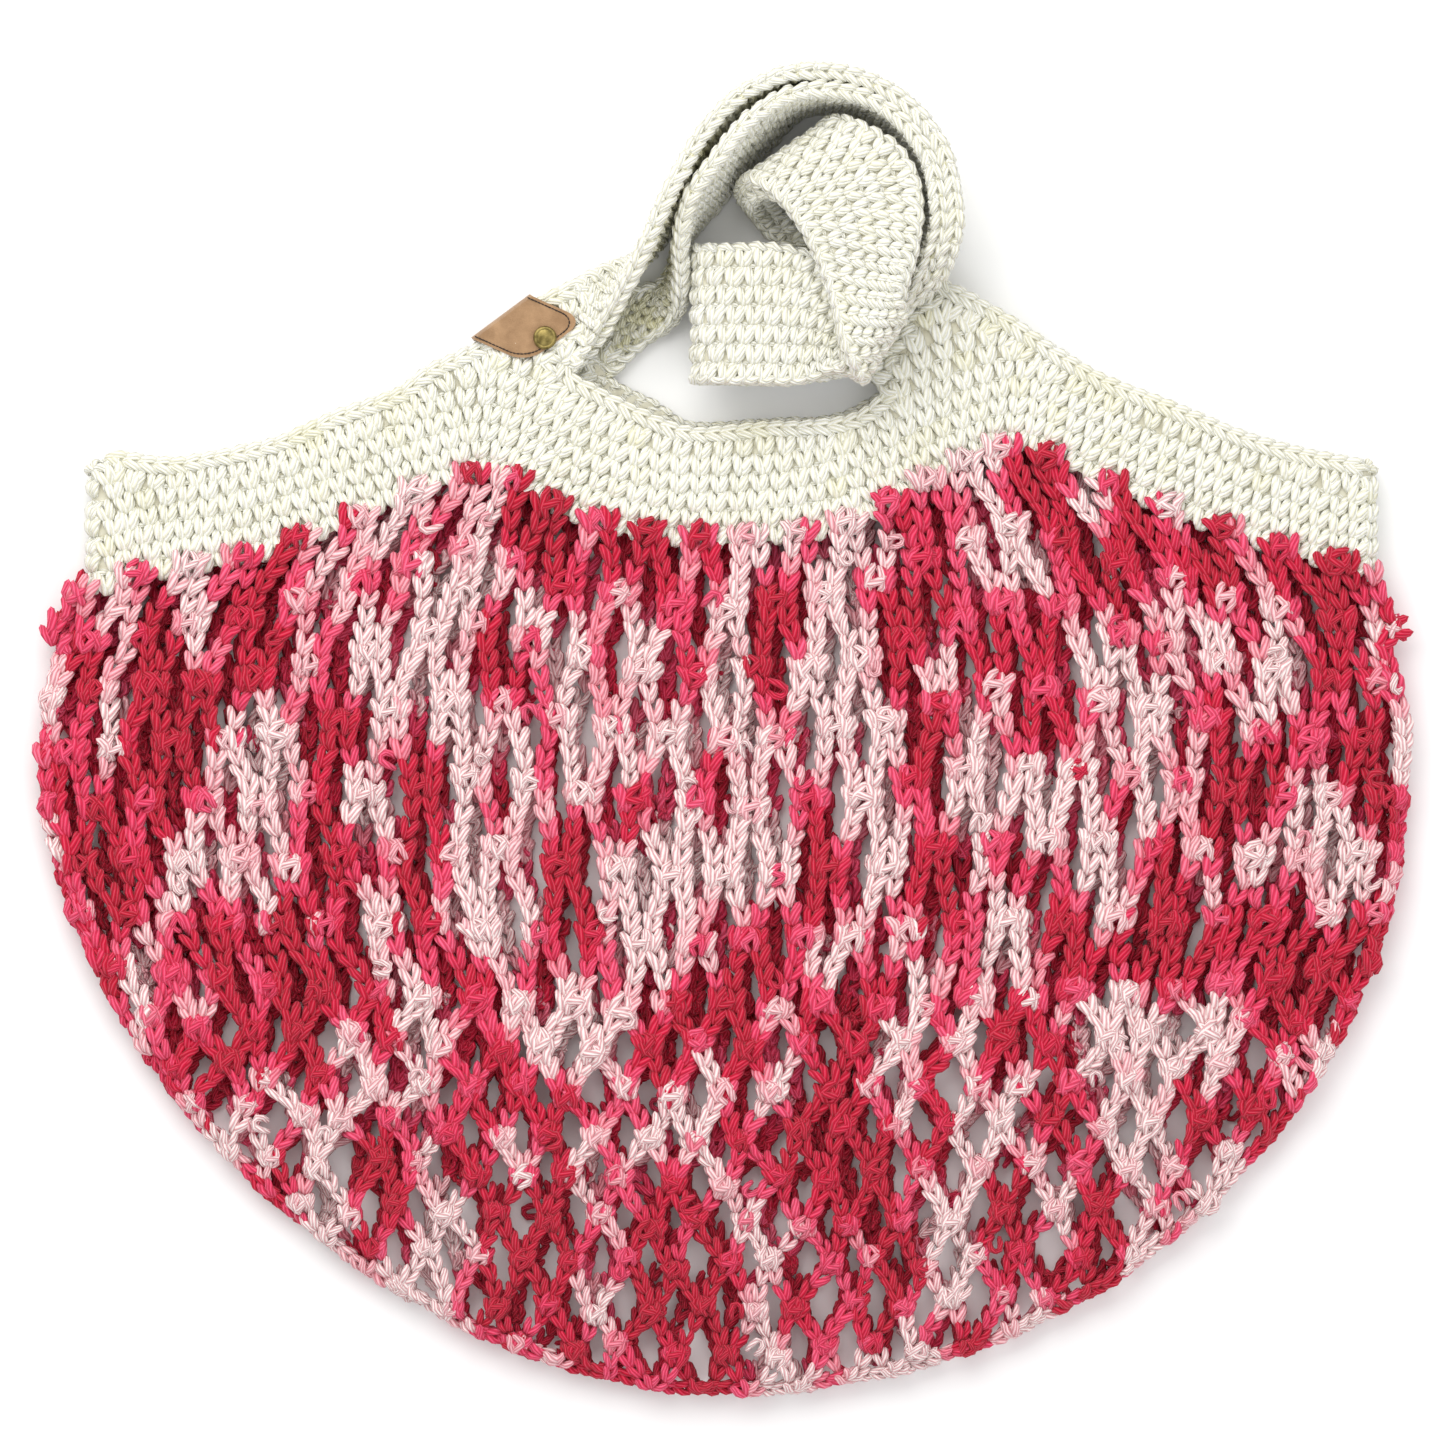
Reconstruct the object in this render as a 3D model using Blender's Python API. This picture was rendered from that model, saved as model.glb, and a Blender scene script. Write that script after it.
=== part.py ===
"""Mesh market bag: a crocheted net pouch, a plain crocheted band and two long straps.

The bag lies flat on its back layer.  Its two straps run side by side through one loose
overhand knot.  X runs across the bag, Y from its foot to its straps, Z up from the surface.
"""

import math
import random
from collections import namedtuple

import bmesh
import bpy
from mathutils import Vector
from mathutils.geometry import delaunay_2d_cdt, intersect_point_line

MM = 0.001

# Cloth thicknesses and how the two layers lie
NET_THICK = 4.0 * MM
NET_INSIDE = 5.0 * MM
BAND_THICK = 3.6 * MM
BAND_INSIDE = 5.4 * MM
STRAP_THICK = 3.1 * MM
SEAM_GAP = 0.4 * MM
FOLD_STEPS = 4

# Net pouch: half widths, the level of its widest row and its foot
NET_HALF_WIDTH = 204.6 * MM
NET_WIDEST_Y = -8.0 * MM
NET_FOOT_Y = -197.7 * MM
NET_UPPER_REACH = 154.0 * MM
LEFT_ROUNDNESS = 1.78
RIGHT_ROUNDNESS = 2.0
OUTLINE_POINTS = 46
OUTLINE_WAVE = 0.9 * MM
OUTLINE_WAVES = 37
OUTLINE_SWELLS = 5

# Open cells of the net
CELL_PITCH = 15.0 * MM
CELL_ROW_PITCH = 12.9 * MM
CELL_ROWS = 8
LOWEST_CELL_ROW_Y = -184.5 * MM
CELL_HALF_WIDTH = 5.3 * MM
CELL_HALF_HEIGHT = 6.2 * MM
RIM_DROP = 1.2 * MM
CELL_SHOULDER = 0.45
CELL_UNEVEN = 0.12
SIDE_STRAND = 3.0 * MM
ROW_CURL = 14.0 * MM
CELL_TILT = 0.2
BACK_CELL_SHIFT = 0.25
FRONT_CELL_SEED = 11
BACK_CELL_SEED = 23
HEXAGON = (
    (0, 1), (1, CELL_SHOULDER), (1, -CELL_SHOULDER),
    (0, -1), (-1, -CELL_SHOULDER), (-1, CELL_SHOULDER),
)
DIAMOND = ((0, 1), (1, 0), (0, -1), (-1, 0))

# Gathered strands above the open cells
STRANDS = 44
STRAND_ROWS = 5
STRAND_RISE = 1.1 * MM
STRAND_DIP = 0.9 * MM
STRAND_SWAY = 0.16
STRAND_START = 0.3
STRAND_CLEAR = 2.2 * MM

# Straps in the loop over the knot
LOOP_CENTRE = Vector((27.5, 155.4)) * MM
LOOP_RADIUS = 40.9 * MM
LOOP_FOOT = 1.2 * MM
STRAP_STEPS = 3
STRAP_EDGE = 1.5 * MM

# Folded tag and its rivet
TAG_THICK = 1.2 * MM
TAG_FOLD_START = Vector((-75.2, 118.0)) * MM
TAG_FOLD_END = Vector((-57.8, 130.9)) * MM
TAG_LENGTH = 18.0 * MM
TAG_CORNER = 5.8 * MM
TAG_CORNER_STEPS = 4
TAG_STRAIGHT = 4.0 * MM
TAG_FOLD_DEPTH = 0.5
TAG_EDGE = 0.3 * MM
TAG_HEADING = math.radians(-24.0)
TAG_CLEAR = 0.4 * MM
RIVET_PLACE = Vector((-53.4, 118.2)) * MM
RIVET_CAP_RADIUS = 3.5 * MM
RIVET_CAP_HEIGHT = 1.3 * MM
RIVET_POST_RADIUS = 1.1 * MM
RIVET_HOLE_RADIUS = 1.5 * MM
RIVET_SIDES = 24
RIVET_HOLE_SIDES = 12
RIVET_CUT_DEPTH = 9.0 * MM
RIVET_CUT_MIDDLE = 10.8 * MM

# Profile of the rivet's caps, as shares of the cap radius and the cap height
CapRing = namedtuple("CapRing", "radius height")

UPPER_CAP = (CapRing(0, 1), CapRing(0.55, 0.9), CapRing(0.9, 0.55), CapRing(1, 0))
LOWER_CAP = (CapRing(1, 0), CapRing(0.9, -0.5), CapRing(0, -0.5))

# Finishes of the sub-parts
Finish = namedtuple("Finish", "name colour roughness metallic")

PINK = Finish("pink_cotton", (0.72, 0.10, 0.20), 0.9, 0.0)
CREAM = Finish("cream_cotton", (0.91, 0.90, 0.80), 0.9, 0.0)
CREAM_FRONT = Finish("cream_front", (0.93, 0.92, 0.84), 0.9, 0.0)
CREAM_BACK = Finish("cream_back", (0.86, 0.85, 0.72), 0.9, 0.0)
SUEDE = Finish("tan_suede", (0.50, 0.31, 0.16), 0.8, 0.0)
BRASS = Finish("antique_brass", (0.38, 0.29, 0.12), 0.35, 1.0)

# Places on an outline, in millimetres across and up
Spot = namedtuple("Spot", "across up")

BAND_HEM = (
    Spot(-172, 47), Spot(-142, 52), Spot(-118, 60), Spot(-97, 70), Spot(-82, 75),
    Spot(-73, 78), Spot(-64, 75), Spot(-49, 66), Spot(-25, 59), Spot(-7, 57),
    Spot(17, 58), Spot(38, 62), Spot(53, 70), Spot(68, 79), Spot(86, 86),
    Spot(101, 81), Spot(116, 73), Spot(134, 66), Spot(155, 58), Spot(179, 51),
)
LEFT_SHOULDER = (
    Spot(-181, 83), Spot(-166, 81), Spot(-153, 83), Spot(-138, 86), Spot(-127, 90),
    Spot(-114, 96), Spot(-97, 102), Spot(-88, 109), Spot(-74.2, 115.4), Spot(-56, 128.4),
    Spot(-43, 135),
)
RIGHT_SHOULDER = (
    Spot(65, 134.5), Spot(78, 128), Spot(89, 121), Spot(101, 113), Spot(113, 106),
    Spot(128, 100), Spot(143, 94), Spot(158, 88), Spot(173, 84), Spot(188, 81),
)
FRONT_GRIP = (
    Spot(-44.6, 110.2), Spot(-47, 107.5), Spot(-37, 102), Spot(-25, 96), Spot(-10, 90.5),
    Spot(11, 92), Spot(32, 93), Spot(42, 96), Spot(48.5, 102),
)
BACK_GRIP = (
    Spot(-37, 131), Spot(-33, 109), Spot(-36, 106.5), Spot(-22, 99), Spot(-10, 92), Spot(11, 93),
    Spot(32, 94), Spot(42, 98), Spot(48.5, 102),
)
LEFT_SIDE = (Spot(-191, 80), Spot(-191.5, 60), Spot(-191, 42))
RIGHT_SIDE = (Spot(194, 78), Spot(195.5, 62), Spot(196, 47))

# Cross rows of one strap: its grip edge and its outer edge, in millimetres
Row = namedtuple("Row", "grip_x grip_y grip_z outer_x outer_y outer_z")

FRONT_ROOT = (
    Row(-44.6, 110.2, 10.8, -43, 135.2, 10.8),
    Row(-42.6, 112.8, 10.8, -41, 136.6, 10.8),
    Row(-38, 118, 15, -35.5, 139, 8.5),
    Row(-33, 126, 22, -30, 141, 4.5),
    Row(-25, 141, 32, -23, 144, 1.5),
    Row(-17, 159, 38, -12, 157, 1.2),
)
BACK_ROOT = (
    Row(-33, 109, 1.8, -37, 131, 1.8),
    Row(-30, 112, 1.8, -35, 132, 1.8),
    Row(-24, 117.5, 3, -30, 133, 1.8),
    Row(-15, 123, 8, -22, 133.5, 1.8),
    Row(-12.5, 133, 18, -16.5, 136, 1.8),
    Row(-13, 147, 29, -12.5, 147, 1.5),
    Row(-9.5, 160, 36, -4, 157.5, 1.2),
)
FRONT_END = (
    Row(45.5, 105.5, 10.8, 63.2, 137, 10.8),
    Row(48.5, 102, 10.8, 65, 134.5, 10.8),
)
BACK_END = (
    Row(45.5, 105.5, 1.8, 63.2, 137, 1.8),
    Row(48.5, 102, 1.8, 65, 134.5, 1.8),
)

# Rows of the pair round the loop: bearing in degrees, height of the grip edge, how far the
# outer edge leans in and how far apart the two straps are, in millimetres
LoopRow = namedtuple("LoopRow", "bearing height lean apart")

LOOP = (
    LoopRow(150, 40, 7.0, 8.0),
    LoopRow(125, 40, 7.5, 7.5),
    LoopRow(100, 40, 3.5, 6.0),
    LoopRow(75, 39, 2.5, 5.0),
    LoopRow(50, 38, 2.0, 4.6),
    LoopRow(25, 38, 2.0, 4.6),
    LoopRow(0, 37, 2.0, 4.6),
)

# Rows of the pair through the knot, as middle rows between the two straps
KnotRow = namedtuple("KnotRow", [*Row._fields, "apart"])

KNOT = (
    KnotRow(65.5, 146.5, 34, 60.5, 147.5, 9, 4.6),
    KnotRow(61.5, 136.5, 27, 51, 141.5, 11.5, 5.6),
    KnotRow(55, 127, 18.8, 36, 145, 13.5, 6.2),
    KnotRow(48, 116.5, 14.5, 28, 145, 13.6, 4.8),
    KnotRow(37, 108, 13.6, 21.5, 142.5, 13.5, 4.3),
    KnotRow(20, 105.5, 13.5, 11, 143.5, 13.5, 4.2),
    KnotRow(4, 105.2, 13.5, 3, 144, 13.5, 4.2),
    KnotRow(-0.5, 105.2, 13.5, -1.3, 144.5, 13.5, 4.2),
    KnotRow(-3.9, 105.2, 14.9, -4.7, 144.6, 14.9, 4.2),
    KnotRow(-5.3, 105.2, 18.25, -6.1, 144.7, 18.25, 4.2),
    KnotRow(-3.9, 105.1, 21.6, -4.7, 144.8, 21.6, 4.2),
    KnotRow(-0.5, 105, 23, -1.3, 144.8, 23, 4.2),
    KnotRow(4, 105, 23, 3.2, 144.8, 23, 4.2),
    KnotRow(14, 104.6, 23.2, 14, 145, 23.2, 4.2),
    KnotRow(24, 105.2, 23.8, 28, 142, 23.8, 4.2),
    KnotRow(30, 108.5, 24.4, 40, 130.5, 24.6, 4.2),
    KnotRow(33.9, 109, 24.8, 45.3, 127.3, 25, 4.2),
    KnotRow(37.5, 106.8, 26.4, 48.9, 125.4, 26.4, 4.2),
    KnotRow(38.7, 106.1, 30, 50.4, 124.8, 29.8, 4.2),
    KnotRow(38.2, 107.6, 33.4, 50.9, 127, 33, 4.2),
    KnotRow(36.6, 112, 35.2, 51.4, 131, 34.5, 4.2),
    KnotRow(35, 118, 35.5, 53, 135.5, 34.3, 4.2),
    KnotRow(33.2, 126, 35.5, 55.2, 141, 33.8, 4.2),
    KnotRow(30, 135, 35.4, 57.2, 148, 33.2, 4.2),
    KnotRow(26.5, 143.5, 35.4, 58, 157, 32.8, 4.2),
    KnotRow(22.5, 151, 35.2, 56.5, 166, 32.8, 4.2),
    KnotRow(17.5, 157.5, 35, 50.5, 174.5, 33, 4.2),
    KnotRow(12.5, 161.5, 33.4, 42.5, 178.5, 32.8, 4.2),
    KnotRow(8.3, 162, 29, 35.5, 180, 29, 4.2),
    KnotRow(5.5, 159, 18.5, 32, 178.5, 18.5, 4.2),
    KnotRow(8, 155.2, 8, 34.5, 175, 8, 4.2),
    KnotRow(13.3, 149.2, 4.4, 39.5, 168, 4.4, 4.2),
    KnotRow(27, 133, 4.2, 51.5, 154, 4.2, 4.2),
    KnotRow(38, 116.5, 4.2, 58.5, 143, 4.2, 4.2),
    KnotRow(41.5, 111.5, 4.6, 60.8, 140, 4.6, 4.6),
)

Layer = namedtuple("Layer", "loop holes crests")
Section = namedtuple("Section", "grip outer across facing")


def places(spots):
    """Outline places in metres."""
    return [Vector(spot) * MM for spot in spots]


def curve_point(before, start, end, after, share):
    """Point at a share of the way along one stretch of a smooth curve through its points."""
    tangent_in = (end - before) * 0.5
    tangent_out = (after - start) * 0.5
    square, cube = share * share, share ** 3
    return (
        start * (2 * cube - 3 * square + 1)
        + tangent_in * (cube - 2 * square + share)
        + end * (3 * square - 2 * cube)
        + tangent_out * (cube - square)
    )


def smooth(points, steps):
    """Points along a smooth curve through the given ones."""
    line = [points[0] * 2 - points[1], *points, points[-1] * 2 - points[-2]]
    found = [
        curve_point(*line[at : at + 4], step / steps)
        for at in range(len(points) - 1)
        for step in range(steps)
    ]
    return found + [points[-1]]


def material(finish):
    """Principled material of one sub-part."""
    made = bpy.data.materials.new(finish.name)
    made.use_nodes = True
    shader = made.node_tree.nodes["Principled BSDF"]
    shader.inputs["Base Color"].default_value = (*finish.colour, 1.0)
    shader.inputs["Roughness"].default_value = finish.roughness
    shader.inputs["Metallic"].default_value = finish.metallic
    made.diffuse_color = (*finish.colour, 1.0)
    return made


def solid(name, points, faces, finish):
    """Named object from points and faces, with its faces turned outwards."""
    mesh = bpy.data.meshes.new(name)
    mesh.from_pydata(points, [], faces)
    shape = bmesh.new()
    shape.from_mesh(mesh)
    bmesh.ops.recalc_face_normals(shape, faces=shape.faces)
    shape.to_mesh(mesh)
    shape.free()
    mesh.materials.append(material(finish))
    mesh.shade_smooth()
    mesh.set_sharp_from_angle(angle=math.radians(50))
    made = bpy.data.objects.new(name, mesh)
    bpy.context.scene.collection.objects.link(made)
    return made


def inside(point, loop):
    """Whether a point lies inside a closed outline."""
    crossed = False
    for start, end in zip(loop, loop[1:] + loop[:1]):
        if (start.y > point.y) != (end.y > point.y):
            share = (point.y - start.y) / (end.y - start.y)
            if point.x < start.x + share * (end.x - start.x):
                crossed = not crossed
    return crossed


def edge_distance(point, loop):
    """Distance from a point to the nearest side of a closed outline."""
    nearest = math.inf
    for start, end in zip(loop, loop[1:] + loop[:1]):
        foot, share = intersect_point_line(point, start, end)
        share = min(max(share, 0.0), 1.0)
        nearest = min(nearest, (start.lerp(end, share) - point).length)
    return nearest


def ring(count, first=0):
    """Index pairs that close a ring."""
    return [(first + at, first + (at + 1) % count) for at in range(count)]


def triangles(loop, holes, crests):
    """Triangles of a flat piece with holes, as indices into its loop, holes and crest lines."""
    points = list(loop)
    edges = ring(len(loop))
    for hole in holes:
        edges += ring(len(hole), len(points))
        points += hole
    for line in crests:
        edges += [(len(points) + at, len(points) + at + 1) for at in range(len(line) - 1)]
        points += line
    found = delaunay_2d_cdt(points, edges, [], 0, 1e-8)
    source = [origin[0] for origin in found[3]]
    kept = []
    for face in found[2]:
        corners = [found[0][corner] for corner in face]
        centre = sum(corners, Vector((0, 0))) / 3
        if inside(centre, loop) and not any(
            (centre - hole[0]).length < 3 * CELL_HALF_HEIGHT and inside(centre, hole)
            for hole in holes
        ):
            kept.append([source[corner] for corner in face])
    return kept


def sleeve(name, front, back, thick, gap, lift, finish):
    """Two flat layers joined round their folds, as one closed cloth with an open inside.

    Each point of a layer's loop is its place and its fold's outward direction, or None on
    an open edge.  Both layers share their fold points, in the same order.
    """
    height = 2 * thick + gap
    middle = height / 2
    points, faces = [], []

    def add(place, level):
        points.append((place.x, place.y, level))
        return len(points) - 1

    skins = {}
    for side, layer in (("front", front), ("back", back)):
        way = 1 if side == "front" else -1
        loop = [place for place, _ in layer.loop]
        for skin, reach in (("outer", middle), ("inner", gap / 2)):
            crests = layer.crests if skin == "outer" else []
            corners = loop + [corner for hole in layer.holes for corner in hole]
            index = [add(corner, middle + way * reach) for corner in corners]
            for line in crests:
                index += [add(corner, middle + way * reach + lift(corner)) for corner in line]
            for face in triangles(loop, layer.holes, crests):
                turned = face if (skin == "outer") == (side == "front") else face[::-1]
                faces.append([index[corner] for corner in turned])
            skins[side, skin] = index
        rings = [ring(len(loop))]
        first = len(loop)
        for hole in layer.holes:
            rings.append(ring(len(hole), first))
            first += len(hole)
        outer, inner = skins[side, "outer"], skins[side, "inner"]
        folded = [direction is not None for _, direction in layer.loop]
        for number, pairs in enumerate(rings):
            for start, end in pairs:
                if number == 0 and folded[start] and folded[end]:
                    continue
                faces.append([outer[start], outer[end], inner[end], inner[start]])

    fold_front = [at for at, (_, way) in enumerate(front.loop) if way is not None]
    fold_back = [at for at, (_, way) in enumerate(back.loop) if way is not None]
    arcs = {"outer": [], "inner": []}
    for at_front, at_back in zip(fold_front, fold_back):
        place, direction = front.loop[at_front]
        for skin, reach in (("outer", middle), ("inner", gap / 2)):
            arc = [skins["front", skin][at_front]]
            for step in range(1, FOLD_STEPS):
                angle = math.pi / 2 - math.pi * step / FOLD_STEPS
                out = place + direction * reach * math.cos(angle)
                arc.append(add(out, middle + reach * math.sin(angle)))
            arc.append(skins["back", skin][at_back])
            arcs[skin].append(arc)
    for number in range(len(fold_front) - 1):
        joined = fold_front[number + 1] == fold_front[number] + 1
        for skin in ("outer", "inner"):
            here, there = arcs[skin][number], arcs[skin][number + 1]
            if joined:
                for step in range(FOLD_STEPS):
                    faces.append([here[step], here[step + 1], there[step + 1], there[step]])
    ends = [
        number
        for number, at in enumerate(fold_front)
        if at - 1 not in fold_front or at + 1 not in fold_front
    ]
    for number in ends:
        outer, inner = arcs["outer"][number], arcs["inner"][number]
        for step in range(FOLD_STEPS):
            faces.append([outer[step], outer[step + 1], inner[step + 1], inner[step]])
    return solid(name, points, faces, finish)


def open_edge(line):
    """Loop points of an open edge."""
    return [(place, None) for place in line]


def fold_edge(line, inset):
    """Loop points of a folded edge, set in from the outline by the fold's depth."""
    found = []
    for at, place in enumerate(line):
        along = line[min(at + 1, len(line) - 1)] - line[max(at - 1, 0)]
        outward = Vector((-along.y, along.x)).normalized()
        found.append((place - outward * inset, outward))
    return found


def net_half_width(level, roundness):
    """Half width of the net at a level, from its middle line to its outline."""
    if level > NET_WIDEST_Y:
        share = (level - NET_WIDEST_Y) / NET_UPPER_REACH
        return NET_HALF_WIDTH * math.sqrt(1 - share * share)
    share = min((NET_WIDEST_Y - level) / (NET_WIDEST_Y - NET_FOOT_Y), 1.0)
    return NET_HALF_WIDTH * (1 - share ** roundness) ** (1 / roundness)


def net_outline(angle):
    """Outline place at an angle from the widest row, 0 on the left and pi on the right."""
    roundness = LEFT_ROUNDNESS if angle < math.pi / 2 else RIGHT_ROUNDNESS
    drop = math.sin(angle) ** (2 / roundness)
    reach = abs(math.cos(angle)) ** (2 / roundness)
    wave = OUTLINE_WAVE * math.sin(angle * OUTLINE_WAVES) * math.sin(angle * OUTLINE_SWELLS + 1)
    way = -1 if angle < math.pi / 2 else 1
    level = NET_WIDEST_Y - (NET_WIDEST_Y - NET_FOOT_Y - wave) * drop
    return Vector((way * (NET_HALF_WIDTH - wave) * reach, level))


def hem_level(across):
    """Level of the band's hem at a place across."""
    line = places([LEFT_SIDE[-1], *BAND_HEM, RIGHT_SIDE[-1]])
    for start, end in zip(line, line[1:]):
        if across <= end.x or end is line[-1]:
            return start.lerp(end, (across - start.x) / (end.x - start.x)).y
    return line[-1].y


def net_fold():
    """Folded outline of the net, from the right end of its rim round the foot to the left."""
    ends = RIGHT_SIDE[-1].up * MM - RIM_DROP, LEFT_SIDE[-1].up * MM - RIM_DROP
    right, left = (
        [Vector((way * net_half_width(level, 2.0), level)) for level in (end, end * 0.4)]
        for way, end in zip((1, -1), ends)
    )
    foot = [
        net_outline(math.pi * (1 - at / OUTLINE_POINTS)) for at in range(OUTLINE_POINTS + 1)
    ]
    return right + foot + left[::-1]


def cells(shift, corners, seed):
    """Open cells of one layer: rows of holes, each row half a cell from the next."""
    draw = random.Random(seed)
    reach = int(NET_HALF_WIDTH / CELL_PITCH) + 1
    found = []
    for row in range(CELL_ROWS):
        for column in range(-reach, reach + 1):
            across = (column + shift + 0.5 * (row % 2)) * CELL_PITCH
            share = across / NET_HALF_WIDTH
            level = LOWEST_CELL_ROW_Y + row * CELL_ROW_PITCH + ROW_CURL * share ** 2
            wide = CELL_HALF_WIDTH * (1 + draw.uniform(-CELL_UNEVEN, CELL_UNEVEN))
            high = CELL_HALF_HEIGHT * (1 + draw.uniform(-CELL_UNEVEN, CELL_UNEVEN))
            found.append([
                Vector((across + wide * x, level + high * y + CELL_TILT * share * wide * x))
                for x, y in corners
            ])
    return found


def strands(loop):
    """Crest and valley lines of the gathered strands, from the hem to the open cells."""
    found = []
    lowest = LOWEST_CELL_ROW_Y + CELL_ROWS * CELL_ROW_PITCH
    for strand in range(2 * STRANDS):
        share = (strand + 0.5) / STRANDS - 1
        top = hem_level(share * NET_HALF_WIDTH)
        line = []
        for row in range(STRAND_ROWS):
            level = top + (lowest - top) * (row + STRAND_START) / STRAND_ROWS
            sway = STRAND_SWAY / STRANDS * (-1) ** (row + strand // 2)
            roundness = LEFT_ROUNDNESS if share < 0 else RIGHT_ROUNDNESS
            place = Vector(((share + sway) * net_half_width(level, roundness), level))
            if inside(place, loop) and edge_distance(place, loop) > STRAND_CLEAR:
                line.append(place)
        if len(line) > 1:
            found.append(line)
    return found


def net_body(finish):
    """Net pouch with its open cells cut through both layers."""
    rim = [Vector((place.x, place.y - SEAM_GAP)) for place in places(BAND_HEM)]
    fold = fold_edge(net_fold(), NET_THICK + NET_INSIDE / 2)
    loop = open_edge(rim) + fold
    outline = [place for place, _ in loop]
    front_cells, back_cells = (
        [
            hole
            for hole in cells(shift, corners, seed)
            if all(inside(c, outline) and edge_distance(c, outline) > SIDE_STRAND for c in hole)
        ]
        for shift, corners, seed in (
            (0.0, HEXAGON, FRONT_CELL_SEED),
            (BACK_CELL_SHIFT, DIAMOND, BACK_CELL_SEED),
        )
    )
    crests = strands(outline)
    raised = {tuple(place): number % 2 for number, line in enumerate(crests) for place in line}

    def lift(place):
        return STRAND_RISE if raised.get(tuple(place)) else -STRAND_DIP

    front = Layer(loop, front_cells, crests)
    back = Layer(loop, back_cells, [])
    return sleeve("net_body", front, back, NET_THICK, NET_INSIDE, lift, finish)


def band(finish):
    """Plain crocheted band: front and back layers joined at the bag's two sides."""
    inset = BAND_THICK + BAND_INSIDE / 2
    left = [(place + Vector((inset, 0)), Vector((-1, 0))) for place in places(LEFT_SIDE)]
    right = [(place - Vector((inset, 0)), Vector((1, 0))) for place in places(RIGHT_SIDE)]
    hem = open_edge(places(BAND_HEM))
    layers = []
    for grip in (FRONT_GRIP, BACK_GRIP):
        upper = open_edge(places(LEFT_SHOULDER + grip + RIGHT_SHOULDER))
        layers.append(Layer(left[::-1] + upper + right + hem[::-1], [], []))
    return sleeve("band", *layers, BAND_THICK, BAND_INSIDE, None, finish)


def edges_of(row):
    """Both edges of a strap row, in metres."""
    return (
        Vector((row.grip_x, row.grip_y, row.grip_z)) * MM,
        Vector((row.outer_x, row.outer_y, row.outer_z)) * MM,
    )


def loop_edges():
    """Rows of the pair round the loop, as edges and distance apart."""
    found = []
    for row in LOOP:
        angle = math.radians(row.bearing)
        way = Vector((math.cos(angle), math.sin(angle)))
        grip = LOOP_CENTRE + way * (LOOP_RADIUS - row.apart * MM / 2)
        outer = grip - way * row.lean * MM
        found.append(((*grip, row.height * MM), (*outer, LOOP_FOOT), row.apart * MM))
    return [(Vector(grip), Vector(outer), apart) for grip, outer, apart in found]


def sections(grip_line, outer_line):
    """Cross sections of a ribbon between two edge lines."""
    found = []
    last = len(grip_line) - 1
    for at, (grip, outer) in enumerate(zip(grip_line, outer_line)):
        before, after = max(at - 1, 0), min(at + 1, last)
        along = grip_line[after] + outer_line[after] - grip_line[before] - outer_line[before]
        across = (outer - grip).normalized()
        found.append(Section(grip, outer, across, along.cross(across).normalized()))
    return found


def ribbon(name, parts, thick, edge, finish):
    """Closed flat ribbon of even thickness through its cross sections."""
    points, faces = [], []
    for part in parts:
        up = part.facing * thick / 2
        inner, outer = part.grip + part.across * edge, part.outer - part.across * edge
        points += [part.grip, inner + up, outer + up, part.outer, outer - up, inner - up]
    for at in range(len(parts) - 1):
        for start, end in ring(6):
            faces.append([6 * at + start, 6 * at + end, 6 * at + 6 + end, 6 * at + 6 + start])
    faces.append(list(range(6))[::-1])
    faces.append([6 * (len(parts) - 1) + corner for corner in range(6)])
    return solid(name, points, faces, finish)


def strap(name, root, end, side, finish):
    """One strap, on its own side of the pair's middle rows."""
    pair = loop_edges() + [(*edges_of(row), row.apart * MM) for row in KNOT]
    grips = smooth([grip for grip, _, _ in pair], STRAP_STEPS)
    outers = smooth([outer for _, outer, _ in pair], STRAP_STEPS)
    aparts = smooth([Vector((apart, 0)) for _, _, apart in pair], STRAP_STEPS)
    shared = []
    for part, apart in zip(sections(grips, outers), aparts):
        shift = part.facing * side * apart.x / 2
        shared.append((part.grip + shift, part.outer + shift))
    first = [edges_of(row) for row in root]
    final = [edges_of(row) for row in end]
    start_line = [smooth([row[edge] for row in first + shared[:1]], STRAP_STEPS)[:-1]
                  for edge in (0, 1)]
    end_line = [smooth([row[edge] for row in shared[-1:] + final], STRAP_STEPS)[1:]
                for edge in (0, 1)]
    lines = [
        start_line[edge] + [row[edge] for row in shared] + end_line[edge] for edge in (0, 1)
    ]
    for line in lines:
        line[0] += (line[1] - line[0]).normalized() * SEAM_GAP
        line[-1] += (line[-2] - line[-1]).normalized() * SEAM_GAP
    return ribbon(name, sections(*lines), STRAP_THICK, STRAP_EDGE, finish)


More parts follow.
